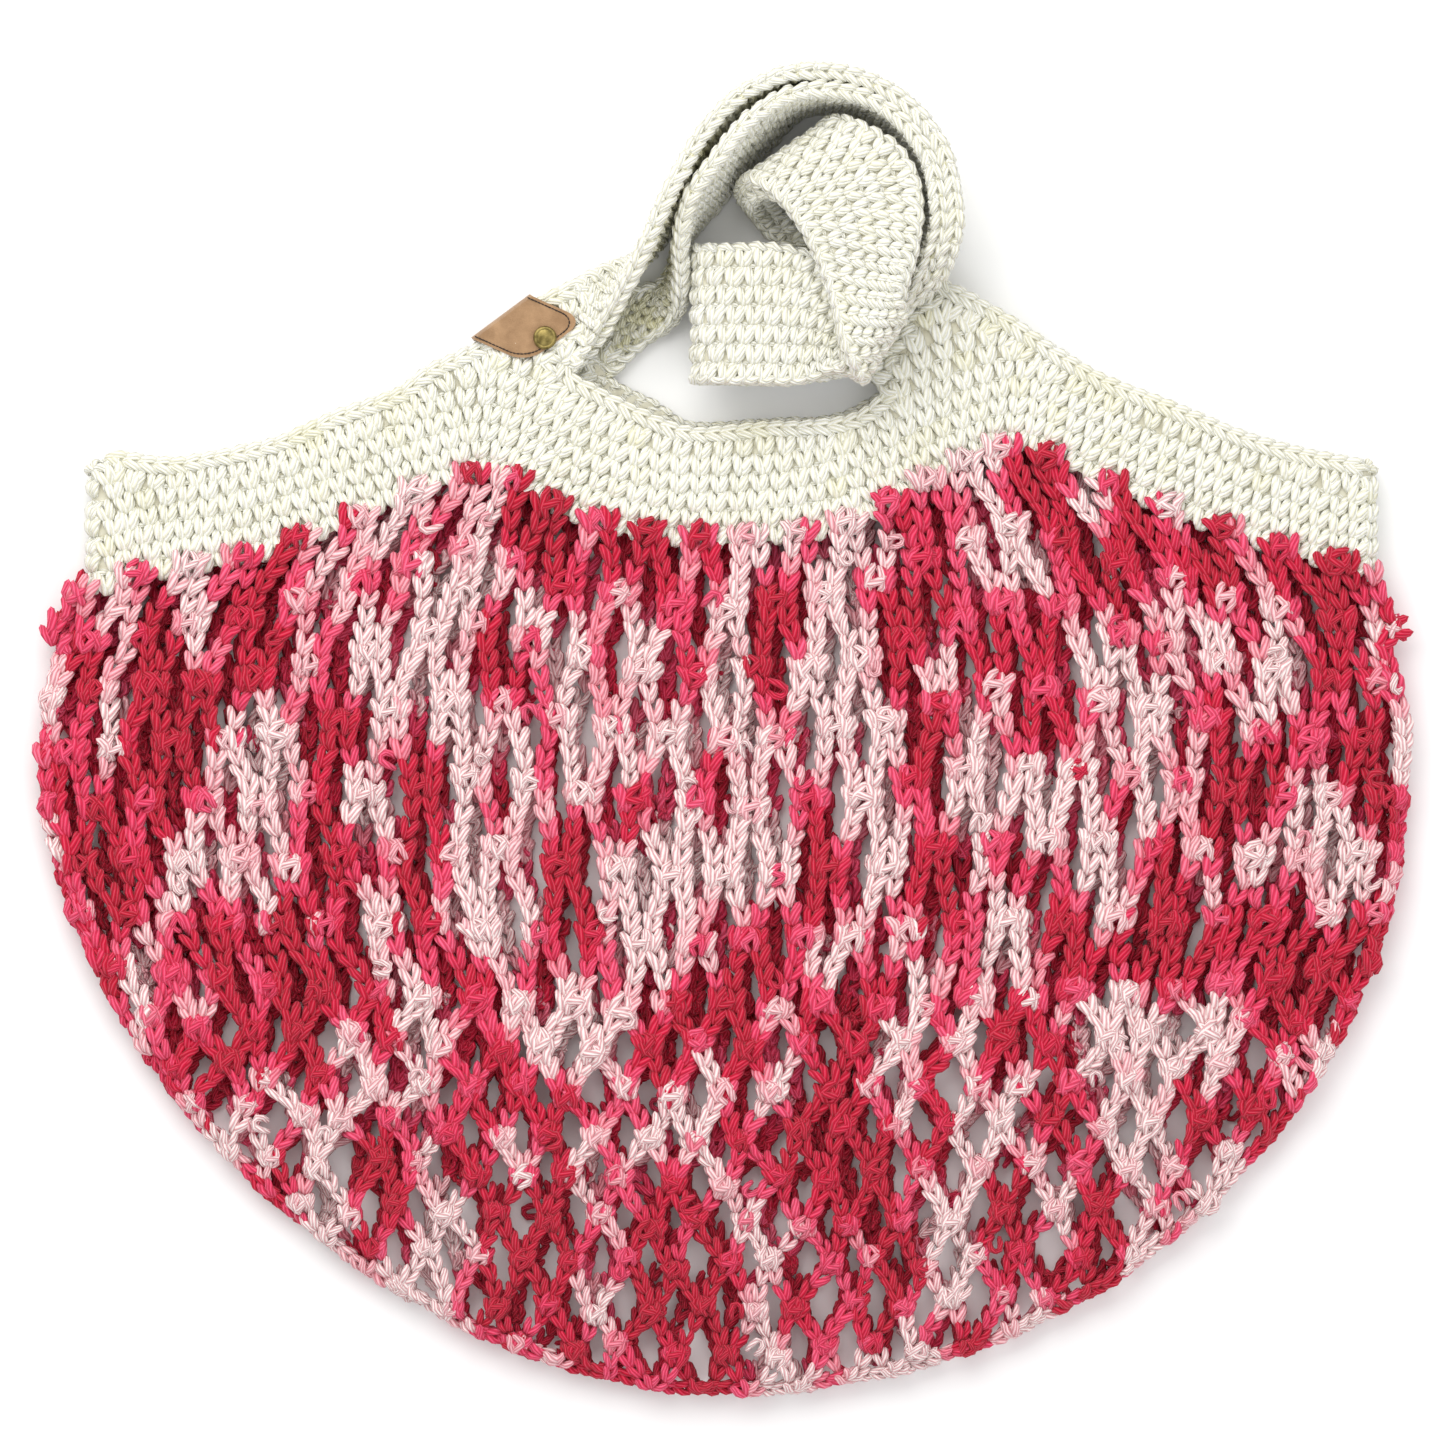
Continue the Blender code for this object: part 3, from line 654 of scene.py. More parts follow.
def chain_lobe(sides: int, rings: int) -> Lobe:
    """One arm of a chain stitch, which points along X."""
    if rings == 4:
        line = ((-2.4, 0.12, -0.4), (-0.9, 0.62, 0.6), (0.7, 1.2, 0.75), (2.1, 1.5, -0.1))
        return Lobe(line, 1.06, sides)
    return Lobe(((-2.2, 0.2, -0.2), (0.0, 0.95, 0.75), (2.0, 1.5, -0.1)), 1.14, sides)


def single_lobe(sides: int, rings: int) -> Lobe:
    """One leg of a single crochet, which stands along Y."""
    if rings == 4:
        line = ((0.45, -2.8, 0.1), (0.95, -1.3, 0.9), (1.45, 0.4, 0.9), (1.85, 2.2, -0.1))
        return Lobe(line, 1.62, sides)
    return Lobe(((0.6, -2.4, 0.2), (1.2, 0.0, 0.85), (1.8, 2.2, 0.0)), 1.66, sides)


class StitchKind(Enum):
    """Stitches, each as its own loops of yarn."""

    CHAIN = (chain_lobe(5, 4), chain_lobe(5, 4).mirrored())
    LIGHT_CHAIN = (chain_lobe(4, 3), chain_lobe(4, 3).mirrored())
    SINGLE = (
        single_lobe(5, 4),
        single_lobe(5, 4).swapped(),
        Lobe(((-2.6, 2.3, -0.7), (0.0, 2.5, -0.2), (2.6, 2.3, -0.7)), 1.1, 4),
    )
    LIGHT_SINGLE = (single_lobe(4, 3), single_lobe(4, 3).swapped())
    KNOT = (
        Lobe(((-2.6, 0.9, 0.0), (-0.7, 1.6, 1.0), (1.3, 1.5, 1.0), (3.0, 0.7, 0.0)), 0.95),
        Lobe(((-3.0, -0.7, 0.0), (-1.0, -1.5, 0.9), (1.0, -1.4, 1.1), (2.5, -0.5, 0.1)), 0.95),
        Lobe(((-1.3, 2.4, -0.2), (-0.5, 0.9, 1.6), (0.3, -0.8, 1.7), (1.0, -2.4, 0.0)), 0.9),
    )
    LOOP = (
        Lobe(((-1.6, -2.0, -0.2), (-1.5, 0.2, 1.0), (-0.9, 1.9, 1.2), (0.5, 2.3, 1.0)), 0.95),
        Lobe(((0.3, 2.3, 1.0), (1.5, 1.4, 1.2), (1.7, -0.2, 1.0), (1.3, -1.9, -0.2)), 0.95),
    )
    DASH = (Lobe(((-0.42, 0.0, 0.0), (0.0, 0.0, 0.12), (0.42, 0.0, 0.0)), 0.22),)

    def model(self) -> bpy.types.Object:
        """Small closed mesh of the stitch, with a map along and round its yarn."""
        points: list[Vector] = []
        faces: list[list[int]] = []
        maps: list[tuple[float, float]] = []
        for lobe in self.value:
            rings = lobe.rings()
            starts = []
            for ring, _ in rings:
                starts.append(len(points))
                points += ring
            for at in range(len(rings) - 1):
                self.join(rings, starts, at, lobe.sides, faces, maps)
        mesh = bpy.data.meshes.new(f"stitch_{self.name.lower()}")
        mesh.from_pydata(points, [], faces)
        uv = mesh.uv_layers.new(name="yarn")
        for at, place in enumerate(maps):
            uv.data[at].uv = place
        mesh.shade_smooth()
        return linked(mesh.name, mesh)

    @staticmethod
    def join(
        rings: Sequence[tuple[list[Vector], float]],
        starts: Sequence[int],
        at: int,
        sides: int,
        faces: list[list[int]],
        maps: list[tuple[float, float]],
    ) -> None:
        """Adds the faces between two rings.

        Args:
            rings: Rings of a loop, with single points at its tips.
            starts: First point number of each ring.
            at: Number of the first of the two rings.
            sides: Sides round the yarn.
            faces: List that takes the faces.
            maps: List that takes a place on the map for each corner.
        """
        (ring, here), (following, there) = rings[at], rings[at + 1]
        low, high = here / (8 * MM), there / (8 * MM)
        for turn in range(sides):
            after = (turn + 1) % sides
            share, share_after = turn / sides, (turn + 1) / sides
            if len(ring) == 1:
                faces.append([starts[at], starts[at + 1] + after, starts[at + 1] + turn])
                maps += [(low, share), (high, share_after), (high, share)]
            elif len(following) == 1:
                faces.append([starts[at] + turn, starts[at] + after, starts[at + 1]])
                maps += [(low, share), (low, share_after), (high, share)]
            else:
                first, second = starts[at], starts[at + 1]
                faces.append([first + turn, first + after, second + after, second + turn])
                maps += [(low, share), (low, share_after), (high, share_after), (high, share)]


class Follow(Enum):
    """How stitches are placed."""

    LINE = "line"
    SPOT = "spot"


class StitchTree:
    """Geometry Nodes tree that sets a stitch along lines or on spots."""

    def __init__(self, follow: Follow) -> None:
        """Builds the tree.

        Args:
            follow: Whether the stitches follow lines or sit on spots.
        """
        self.tree = bpy.data.node_groups.new(f"stitches_on_{follow.value}s", "GeometryNodeTree")
        self.sockets: dict[str, str] = {}
        for name, kind in (
            ("Geometry", "Geometry"), ("Stitch", "Object"), ("Pitch", "Float"),
            ("Turn", "Vector"), ("Swell", "Float"), ("Finish", "Material"), ("Seed", "Int"),
        ):
            self.sockets[name] = self.add_input(name, kind)
        self.tree.interface.new_socket(
            name="Geometry", in_out="OUTPUT", socket_type="NodeSocketGeometry"
        )
        graph = Graph(self.tree)
        given = graph.node("NodeGroupInput").outputs
        if follow is Follow.LINE:
            curve = graph.node("GeometryNodeMeshToCurve", {}, {"Mesh": given["Geometry"]})
            even = graph.node(
                "GeometryNodeResampleCurve",
                {"mode": "LENGTH"},
                {"Curve": curve.outputs[0], "Length": given["Pitch"]},
            )
            spots = graph.node(
                "GeometryNodeCurveToPoints", {"mode": "EVALUATED"}, {"Curve": even.outputs[0]}
            )
            along = spots.outputs["Tangent"]
        else:
            spots = graph.node("GeometryNodeMeshToPoints", {}, {"Mesh": given["Geometry"]})
            along = self.attribute(graph, "along")
        self.finish_tree(graph, given, spots.outputs[0], along)

    def add_input(self, name: str, kind: str) -> str:
        """Adds a named input and gives its identifier."""
        made = self.tree.interface.new_socket(
            name=name, in_out="INPUT", socket_type=f"NodeSocket{kind}"
        )
        return made.identifier

    @staticmethod
    def attribute(graph: Graph, name: str) -> bpy.types.NodeSocket:
        """Named vector of the points."""
        made = graph.node(
            "GeometryNodeInputNamedAttribute", {"data_type": "FLOAT_VECTOR"}, {"Name": name}
        )
        return made.outputs["Attribute"]

    def finish_tree(
        self,
        graph: Graph,
        given: bpy.types.NodeOutputs,
        spots: bpy.types.NodeSocket,
        along: bpy.types.NodeSocket,
    ) -> None:
        """Adds the stitches on the points, as one mesh.

        Args:
            graph: Graph of the tree.
            given: Outputs of the tree's inputs.
            spots: Points that take a stitch each.
            along: Direction of the stitch's X axis.
        """
        straight = graph.node(
            "FunctionNodeAxesToRotation",
            {"primary_axis": "Z", "secondary_axis": "X"},
            {"Primary Axis": self.attribute(graph, "up"), "Secondary Axis": along},
        )
        less = graph.node(
            "ShaderNodeVectorMath", {"operation": "SCALE"}, {0: given["Turn"], "Scale": -1.0}
        )
        turn = graph.node(
            "FunctionNodeRandomValue",
            {"data_type": "FLOAT_VECTOR"},
            {0: less.outputs[0], 1: given["Turn"], "Seed": given["Seed"]},
        )
        angle = graph.node("FunctionNodeEulerToRotation", {}, {"Euler": turn.outputs[0]})
        turned = graph.node(
            "FunctionNodeRotateRotation",
            {"rotation_space": "LOCAL"},
            {"Rotation": straight.outputs[0], "Rotate By": angle.outputs[0]},
        )
        change = graph.wire(given["Swell"])
        limits = (1.0 - change, change + 1.0)
        swell = graph.node("FunctionNodeRandomValue", {"data_type": "FLOAT"})
        sockets = [item for item in swell.inputs if item.type == "VALUE" and item.enabled]
        for socket, limit in zip(sockets, limits):
            graph.feed(socket, limit)
        size = graph.node(
            "ShaderNodeVectorMath",
            {"operation": "SCALE"},
            {0: self.attribute(graph, "size"), "Scale": swell.outputs[1]},
        )
        stitch = graph.node(
            "GeometryNodeObjectInfo", {"transform_space": "ORIGINAL"}, {"Object": given["Stitch"]}
        )
        placed = graph.node(
            "GeometryNodeInstanceOnPoints",
            {},
            {
                "Points": spots,
                "Instance": stitch.outputs["Geometry"],
                "Rotation": turned.outputs[0],
                "Scale": size.outputs[0],
            },
        )
        real = graph.node("GeometryNodeRealizeInstances", {}, {"Geometry": placed.outputs[0]})
        dressed = graph.node(
            "GeometryNodeSetMaterial",
            {},
            {"Geometry": real.outputs[0], "Material": given["Finish"]},
        )
        graph.node("NodeGroupOutput", {}, {"Geometry": dressed.outputs[0]})


class Workshop:
    """Keeps the trees, the stitches and the finishes that the pieces share."""

    def __init__(self) -> None:
        """Builds the trees and the stitch models."""
        self.trees = {follow: StitchTree(follow) for follow in Follow}
        self.stitches = {kind: kind.model() for kind in StitchKind}
        self.finishes: dict[str, bpy.types.Material] = {}

    def finish(self, wanted: Finish) -> bpy.types.Material:
        """Material of a finish, made once."""
        if wanted.name not in self.finishes:
            self.finishes[wanted.name] = wanted.make()
        return self.finishes[wanted.name]

    def clear(self) -> None:
        """Removes the stitch models."""
        for model in self.stitches.values():
            bpy.data.objects.remove(model)
        self.stitches = {}


@dataclass
class StitchWork:
    """Stitches of one kind that become one piece.

    Attributes:
        name: Name of the piece.
        kind: Stitch that repeats.
        follow: Whether it follows lines or sits on spots.
        pitch: Distance between stitches on a line, in metres.
        turn: Random turn about each axis, in radians.
        swell: Random change of size.
        seed: Seed of what is random.
    """

    name: str
    kind: StitchKind
    follow: Follow
    pitch: float = 0.004
    turn: tuple[float, float, float] = (0.1, 0.08, 0.1)
    swell: float = 0.06
    seed: int = 1

    def __post_init__(self) -> None:
        """Starts with no stitch."""
        self.points: list[Vector] = []
        self.edges: list[tuple[int, int]] = []
        self.values: dict[str, list] = {"up": [], "size": [], "along": [], "shade": []}

    def line(
        self,
        points: Sequence[Vector],
        ups: Sequence[Vector],
        shades: Sequence[float],
        size: float = 1.0,
    ) -> None:
        """Adds a line that stitches follow.

        Args:
            points: Places along the line.
            ups: Direction that the stitches face at each place.
            shades: Shade of the yarn at each place.
            size: Size of the stitches.
        """
        first = len(self.points)
        self.edges += [(first + at, first + at + 1) for at in range(len(points) - 1)]
        for point, up, shade, along in zip(points, ups, shades, tangents(points)):
            self.spot(point, up, along, (size, size, size), shade)

    def spot(
        self,
        point: Vector,
        up: Vector,
        along: Vector,
        size: tuple[float, float, float],
        shade: float,
    ) -> None:
        """Adds one stitch.

        Args:
            point: Place of its middle.
            up: Direction that it faces.
            along: Direction of its X axis.
            size: Size along each of its axes.
            shade: Shade of its yarn.
        """
        self.points.append(point)
        for name, value in (("up", up), ("size", size), ("along", along), ("shade", shade)):
            self.values[name].append(value)

    def build(self, shop: Workshop, finish: Finish) -> bpy.types.Object:
        """Piece with all its stitches, pressed flat where it lies on the floor.

        Args:
            shop: Shared trees and stitches.
            finish: Finish of the yarn.

        Returns:
            The finished mesh object, at the origin.
        """
        mesh = bpy.data.meshes.new(f"{self.name}_lines")
        mesh.from_pydata(self.points, self.edges, [])
        for name, values in self.values.items():
            kind = "FLOAT" if name == "shade" else "FLOAT_VECTOR"
            layer = mesh.attributes.new(name, kind, "POINT")
            if name == "shade":
                layer.data.foreach_set("value", values)
            else:
                layer.data.foreach_set("vector", [part for value in values for part in value])
        lines = linked(mesh.name, mesh)
        tree = shop.trees[self.follow]
        modifier = lines.modifiers.new("stitches", "NODES")
        modifier.node_group = tree.tree
        for name, value in (
            ("Stitch", shop.stitches[self.kind]), ("Pitch", self.pitch), ("Turn", self.turn),
            ("Swell", self.swell), ("Finish", shop.finish(finish)), ("Seed", self.seed),
        ):
            modifier[tree.sockets[name]] = value
        graph = bpy.context.evaluated_depsgraph_get()
        real = bpy.data.meshes.new_from_object(
            lines.evaluated_get(graph), preserve_all_data_layers=True, depsgraph=graph
        )
        bpy.data.objects.remove(lines)
        real.name = self.name
        for vertex in real.vertices:
            vertex.co.z = max(vertex.co.z, 0.0)
        LOG.info("%s: %d faces", self.name, len(real.polygons))
        return linked(self.name, real)


def ribbon_faces(rings: int, order: Sequence[int], first: int = 0) -> list[list[int]]:
    """Faces round a solid ribbon of equal rings, with its two ends.

    Args:
        rings: Number of rings.
        order: A ring's corner numbers in their order round it.
        first: Number of the first corner.

    Returns:
        Corner numbers of each face.
    """
    found = []
    size = len(order)
    for at in range(rings - 1):
        a, b = first + size * at, first + size * (at + 1)
        for one, two in zip(order, [*order[1:], order[0]]):
            found.append([a + one, a + two, b + two, b + one])
    found.append([first + corner for corner in order[::-1]])
    last = first + size * (rings - 1)
    found.append([last + corner for corner in order])
    return found


def mesh_piece(
    name: str,
    points: Sequence[Sequence[float]],
    faces: Sequence[Sequence[int]],
    finish: bpy.types.Material,
) -> bpy.types.Object:
    """Closed mesh object with its faces turned outwards.

    Args:
        name: Name of the piece.
        points: Corners in metres.
        faces: Corner numbers of each face.
        finish: Its material.

    Returns:
        The new object, at the origin.
    """
    mesh = bpy.data.meshes.new(name)
    mesh.from_pydata(points, [], faces)
    shape = bmesh.new()
    shape.from_mesh(mesh)
    bmesh.ops.recalc_face_normals(shape, faces=shape.faces)
    shape.to_mesh(mesh)
    shape.free()
    mesh.materials.append(finish)
    mesh.shade_smooth()
    mesh.set_sharp_from_angle(angle=math.radians(40))
    LOG.info("%s: %d faces", name, len(faces))
    return linked(name, mesh)


@dataclass(frozen=True)
class Dye:
    """Colours of the dyed yarn, which pool into patches.

    Attributes:
        wide: Width of a patch.
        tall: Height of a patch.
        contrast: How sharply the patches part.
        middle: Shade where neither colour wins.
        stray: How far a strand's shade strays from the pool's.
        drift: How far a strand's patches drift along it, in patches.
    """

    wide: float = 0.0145
    tall: float = 0.025
    contrast: float = 1.3
    middle: float = 0.57
    stray: float = 0.3
    drift: float = 0.5

    # Where the noise is read: a strand's two planes and steps, and the plane of the pools.
    STRAND_STEPS = (0.731, 0.379)
    STRAND_PLANES = (4.3, 9.1)
    POOL_PLANE = 2.7
    LIMITS = (0.04, 0.98)

    def shade(self, place: Vector, strand: float) -> float:
        """Shade of the yarn at a place.

        Args:
            place: Flat place.
            strand: Number that tells the strands apart.

        Returns:
            Shade from 0, deepest, to 1, palest.
        """
        reading = [strand * step for step in self.STRAND_STEPS]
        stray, drift = (noise.noise(Vector((*reading, plane))) for plane in self.STRAND_PLANES)
        across, up = place.x / self.wide, place.y / self.tall + drift * self.drift
        pool = noise.noise(Vector((across, up, self.POOL_PLANE))) + stray * self.stray
        return held(self.middle + pool * self.contrast, *self.LIMITS)


class Side(Enum):
    """Layer of the bag, with its way from the middle and its seed."""

    FRONT = (1, 11)
    BACK = (-1, 23)

    @property
    def way(self) -> int:
        """1 for the front and -1 for the back."""
        return self.value[0]

    @property
    def seed(self) -> int:
        """Seed of the layer's unevenness."""
        return self.value[1]


@dataclass
class NetPouch:
    """Dyed net of chain stitches, in a front and a back layer.

    Attributes:
        half_width: Half width at the widest row.
        widest: Level of the widest row.
        foot: Level of the foot.
        upper_reach: How far above the widest row the sides would close.
        left_roundness: Roundness of the left lower side.
        right_roundness: Roundness of the right lower side.
        pitch: Width of an open cell.
        row_pitch: Height of a row of open cells.
        open_rows: Rows of open cells.
        upper_rows: Rows of gathered cells above them.
        lowest_row: Level of the lowest row of cells.
        curl: How far the rows rise at the sides.
        middle: Level halfway between the layers.
        reach: Distance from there to a layer's middle.
        fold: Width over which a layer bends to the fold.
        size_upper: Size of the stitches of the gathered strands.
        size_lower: Size of the stitches round the open cells.
        pair_upper: Half the distance of two gathered strands at a knot.
        pair_lower: The same at the open cells.
        back_shift: How far the back layer's gathered cells lie off the front's, in cells.
        hem_lift: How far the top knots rise over the band.
        knot_lift: How far the knots rise above the strands.
        loops: Stray loops on each layer.
        gathered_cell: Width and height of a gathered cell.
        stitch_upper: Distance between the stitches of a gathered strand.
        stitch_lower: The same round the open cells.
        hem_overlap: How far the top row reaches over the hem.
        closed_below: Level below which the outline is closed.
        rim_clear: Least distance of a strand from the outline.
        back_draw: How much closer the back layer lies to the middle.
        back_painted_shade: Middle shade of the back layer's dye, deeper than the front's as painted
            shade between the layers.
    """

    half_width: float = 0.2046
    widest: float = -0.008
    foot: float = -0.1977
    upper_reach: float = 0.154
    left_roundness: float = 1.78
    right_roundness: float = 2.0
    pitch: float = 0.015
    row_pitch: float = 0.0129
    open_rows: int = 8
    upper_rows: int = 7
    lowest_row: float = -0.1845
    curl: float = 0.014
    middle: float = 0.0073
    reach: float = 0.0036
    fold: float = 0.009
    size_upper: float = 1.42
    size_lower: float = 1.16
    pair_upper: float = 0.0032
    pair_lower: float = 0.0016
    back_shift: float = 0.25
    hem_lift: float = 0.0026
    knot_lift: float = 0.0006
    loops: int = 60
    gathered_cell: tuple[float, float] = (0.0165, 0.0195)
    stitch_upper: float = 0.0050
    stitch_lower: float = 0.0042
    hem_overlap: float = 0.0015
    closed_below: float = 0.03
    rim_clear: float = 0.0022
    back_draw: float = 0.0004
    back_painted_shade: float = 0.30

    HEM_START = (-0.191, 0.042)
    HEM_END = (0.196, 0.047)
    LEFT_LEVELS = (0.041, 0.030, 0.018, 0.006)
    RIGHT_LEVELS = (0.006, 0.018, 0.031, 0.046)

    # Ranges of what is random, in metres, sizes and radians.
    LOOP_LIFT = (0.0006, 0.0018)
    LOOP_SIZE = (0.95, 1.25)
    KNOT_LIFT = (-0.0006, 0.0010)
    BOW = (-0.0014, 0.0014)
    DROP = (-0.0018, 0.0010)
    ROLL = (-0.5, 0.5)
    TWIST = (-0.8, 0.8)

    def __post_init__(self) -> None:
        """Works out the outline."""
        # The back layer's dye is deeper than the front's, as painted shade between the layers.
        self.dyes = {Side.FRONT: Dye(), Side.BACK: Dye(middle=self.back_painted_shade)}
        self.hem = [Vector(self.HEM_START), *flat_places(BAND_HEM), Vector(self.HEM_END)]
        steps = 60
        lower = [self.lower_outline(math.pi * at / steps) for at in range(steps + 1)]
        left_top = [Vector((-self.half_span(level), level)) for level in self.LEFT_LEVELS]
        right_top = [Vector((self.half_span(level), level)) for level in self.RIGHT_LEVELS]
        self.outline = left_top + lower + right_top

    def half_span(self, level: float) -> float:
        """Half width at a level above the widest row."""
        share = (level - self.widest) / self.upper_reach
        return self.half_width * math.sqrt(max(1 - share * share, 0.0))

    def lower_outline(self, angle: float) -> Vector:
        """Outline place below the widest row, by its angle from the left."""
        roundness = self.left_roundness if angle < math.pi / 2 else self.right_roundness
        reach = abs(math.cos(angle)) ** (2 / roundness)
        drop = math.sin(angle) ** (2 / roundness)
        way = -1 if angle < math.pi / 2 else 1
        return Vector(
            (way * self.half_width * reach, self.widest - (self.widest - self.foot) * drop)
        )

    def hem_level(self, across: float) -> float:
        """Level of the hem at a place across."""
        for start, end in zip(self.hem, self.hem[1:]):
            if across <= end.x:
                share = max((across - start.x) / (end.x - start.x), 0.0)
                return start.y + share * (end.y - start.y)
        return self.hem[-1].y

    def spread_area(self, upper: bool) -> float:
        """Area of one layer's part once its cells are spread square.

        Args:
            upper: Whether it is the gathered part or the part with open cells.

        Returns:
            Square metres.
        """
        steps = 400
        area = 0.0
        for at in range(steps):
            share = (at + 0.5) / steps * 2 - 1
            across = share * self.half_width
            low = self.lowest_row + self.open_rows * self.row_pitch + self.curl * share**2
            if upper:
                tall = self.hem_level(across) - low
            else:
                roundness = self.left_roundness if across < 0 else self.right_roundness
                bulge = (1 - abs(share) ** roundness) ** (1 / roundness)
                tall = low - self.widest + (self.widest - self.foot) * bulge
            area += max(tall, 0.0) * 2 * self.half_width / steps
        wide, high = self.gathered_cell if upper else (self.pitch, self.row_pitch)
        return area * ((wide / 2) ** 2 + high**2) / (wide * high)

    def width_at(self, level: float, across: float) -> float:
        """Half width of the net at any level, on the side of a place across."""
        if level > self.widest:
            return self.half_span(level)
        roundness = self.left_roundness if across < 0 else self.right_roundness
        share = min((self.widest - level) / (self.widest - self.foot), 1.0)
        return self.half_width * (1 - share**roundness) ** (1 / roundness)

    def place(self, column: float, row: float) -> Vector:
        """Flat place of a point of the lattice.

        Args:
            column: Cells from the middle line.
            row: Rows from the foot.

        Returns:
            The flat place, which may lie outside the outline.
        """
        across = column * self.pitch
        curl = self.curl * (across / self.half_width) ** 2
        if row <= self.open_rows:
            return Vector((across, self.lowest_row + row * self.row_pitch + curl))
        low = self.lowest_row + self.open_rows * self.row_pitch + curl
        share = (row - self.open_rows) / self.upper_rows
        start = self.width_at(low, across)
        level = low
        for _ in range(3):
            top = self.hem_level(across) + self.hem_overlap
            level = low + (top - low) * share
            across = column * self.pitch * self.width_at(level, across) / start
        return Vector((across, level))

    def lifted(self, flat: Vector, side: Side, lift: float) -> tuple[Vector, Vector]:
        """Place in space and outward direction of a flat place of a layer.

        Args:
            flat: Flat place, drawn back to the outline if it lies outside.
            side: Layer.
            lift: Distance out from the layer's middle.

        Returns:
            The place and the direction that the cloth faces there.
        """
        edge, distance = nearest(flat, self.outline)
        outside = flat.y < self.closed_below and not inside(flat, self.outline)
        away = (edge - flat) if not outside else (flat - edge)
        away = away.normalized() if away.length > 1e-6 else Vector((0.0, -1.0))
        if outside or distance < self.rim_clear:
            flat, distance = edge - away * self.rim_clear, self.rim_clear
        share = 1 - min(distance / self.fold, 1.0)
        rise = math.sqrt(max(1 - share * share, 0.0))
        facing = Vector((away.x * share, away.y * share, side.way * rise)).normalized()
        reach = self.reach if side is Side.FRONT else self.reach - self.back_draw
        place = Vector((flat.x, flat.y, self.middle + side.way * reach * rise))
        return place + facing * lift, facing

    def build(self, shop: Workshop) -> list[bpy.types.Object]:
        """Both layers, with the chain round the outline on the front.

        Args:
            shop: Shared trees and stitches.

        Returns:
            The net's pieces.
        """
        made = []
        for side in Side:
            kind = StitchKind.CHAIN if side is Side.FRONT else StitchKind.LIGHT_CHAIN
            layer = side.name.lower()
            strands = ("upper", self.stitch_upper, 3), ("lower", self.stitch_lower, 5)
            upper, lower = (
                StitchWork(
                    f"net_{layer}_{part}", kind, Follow.LINE, pitch,
                    turn=(0.24, 0.2, 0.2), swell=0.1, seed=seed,
                )
                for part, pitch, seed in strands
            )
            knots, loops = (
                StitchWork(
                    f"net_{layer}_{part}", kind, Follow.SPOT, turn=(0.35, 0.35, 0.7), swell=0.16
                )
                for part, kind in (("knots", StitchKind.KNOT), ("loops", StitchKind.LOOP))
            )
            self.lay(side, upper, lower, knots)
            self.stray(side, loops)
            if side is Side.FRONT:
                self.rim(lower)
            made += [work.build(shop, DYED_YARN) for work in (upper, lower, knots, loops)]
        return made

    def stray(self, side: Side, work: StitchWork) -> None:
        """Sets loose loops that stand out of a layer.

        Args:
            side: Layer.
            work: Work that takes the loops.
        """
        draw = random.Random(side.seed + 1)
        while len(work.points) < self.loops:
            flat = Vector((
                draw.uniform(-self.half_width, self.half_width), draw.uniform(self.foot, 0.08)
            ))
            if flat.y > self.hem_level(flat.x) - 0.006 or not self.kept(flat, flat.y > 0):
                continue
            place, facing = self.lifted(flat, side, draw.uniform(*self.LOOP_LIFT))
            angle = draw.uniform(0.0, math.tau)
            along = Vector((math.cos(angle), math.sin(angle), 0))
            size = draw.uniform(*self.LOOP_SIZE)
            shade = self.dyes[side].shade(flat, 300 + len(work.points))
            work.spot(place, facing, along, (size, size, size), shade)

    def lay(
        self, side: Side, upper: StitchWork, lower: StitchWork, knots: StitchWork
    ) -> None:
        """Lays the strands and the knots of a layer.

        Args:
            side: Layer.
            upper: Work that takes the gathered strands.
            lower: Work that takes the strands round the open cells.
            knots: Work that takes the knots.
        """
        draw = random.Random(side.seed)
        rows = self.open_rows + self.upper_rows
        reach = 14
        spots: dict[tuple[int, int], tuple[Vector, float]] = {}
        for row in range(-1, rows + 1):
            shift = 0.0
            if side is Side.BACK:
                shift = self.back_shift * held((row - 4) / 4)
            if row in (-1, rows):
                loose = 0.0006
            else:
                loose = 0.0024 if row < self.open_rows else 0.0015
            for number in range(-2 * reach, 2 * reach + 1):
                if (number + row) % 2:
                    continue
                sway = Vector((draw.uniform(-loose, loose), draw.uniform(-loose, loose)))
                flat = self.place(number / 2 + shift, row) + sway
                if side is Side.BACK and row < self.open_rows:
                    flat += self.slip(flat)
                lift = draw.uniform(*self.KNOT_LIFT)
                if row == rows and side is Side.FRONT:
                    lift += self.hem_lift
                spots[number, row] = (flat, lift)
        for (number, row), (flat, lift) in spots.items():
            if row >= 0 and self.kept(flat, row >= self.open_rows):
                place, facing = self.lifted(flat, side, lift + self.knot_lift * side.way)
                shade = self.dyes[side].shade(flat, number * 2)
                up_way = Vector((flat.x * 0.2, 0.2, 0)).normalized()
                size = self.size(row) * 0.94
                knots.spot(place, facing, up_way, (size, size, size), shade)
            for step in (-1, 1):
                end = spots.get((number + step, row + 1))
                if end is None:
                    continue
                gathered = row >= self.open_rows
                if not (self.kept(flat, gathered) or self.kept(end[0], gathered)):
                    continue
                work = upper if gathered else lower
                self.strand(side, work, (number, row, flat, lift), (step, *end), draw)

    def size(self, row: int) -> float:
        """Size of the stitches above a row of knots."""
        share = held((row - 2) / (self.open_rows - 3))
        return self.size_lower + (self.size_upper - self.size_lower) * share

    @staticmethod
    def slip(flat: Vector) -> Vector:
        """How far the back layer's open cells have slipped behind the front's."""
        place = Vector((flat.x * 17, flat.y * 21, 1.3))
        return Vector((noise.noise(place), noise.noise(place + UP * 5))) * 0.0095

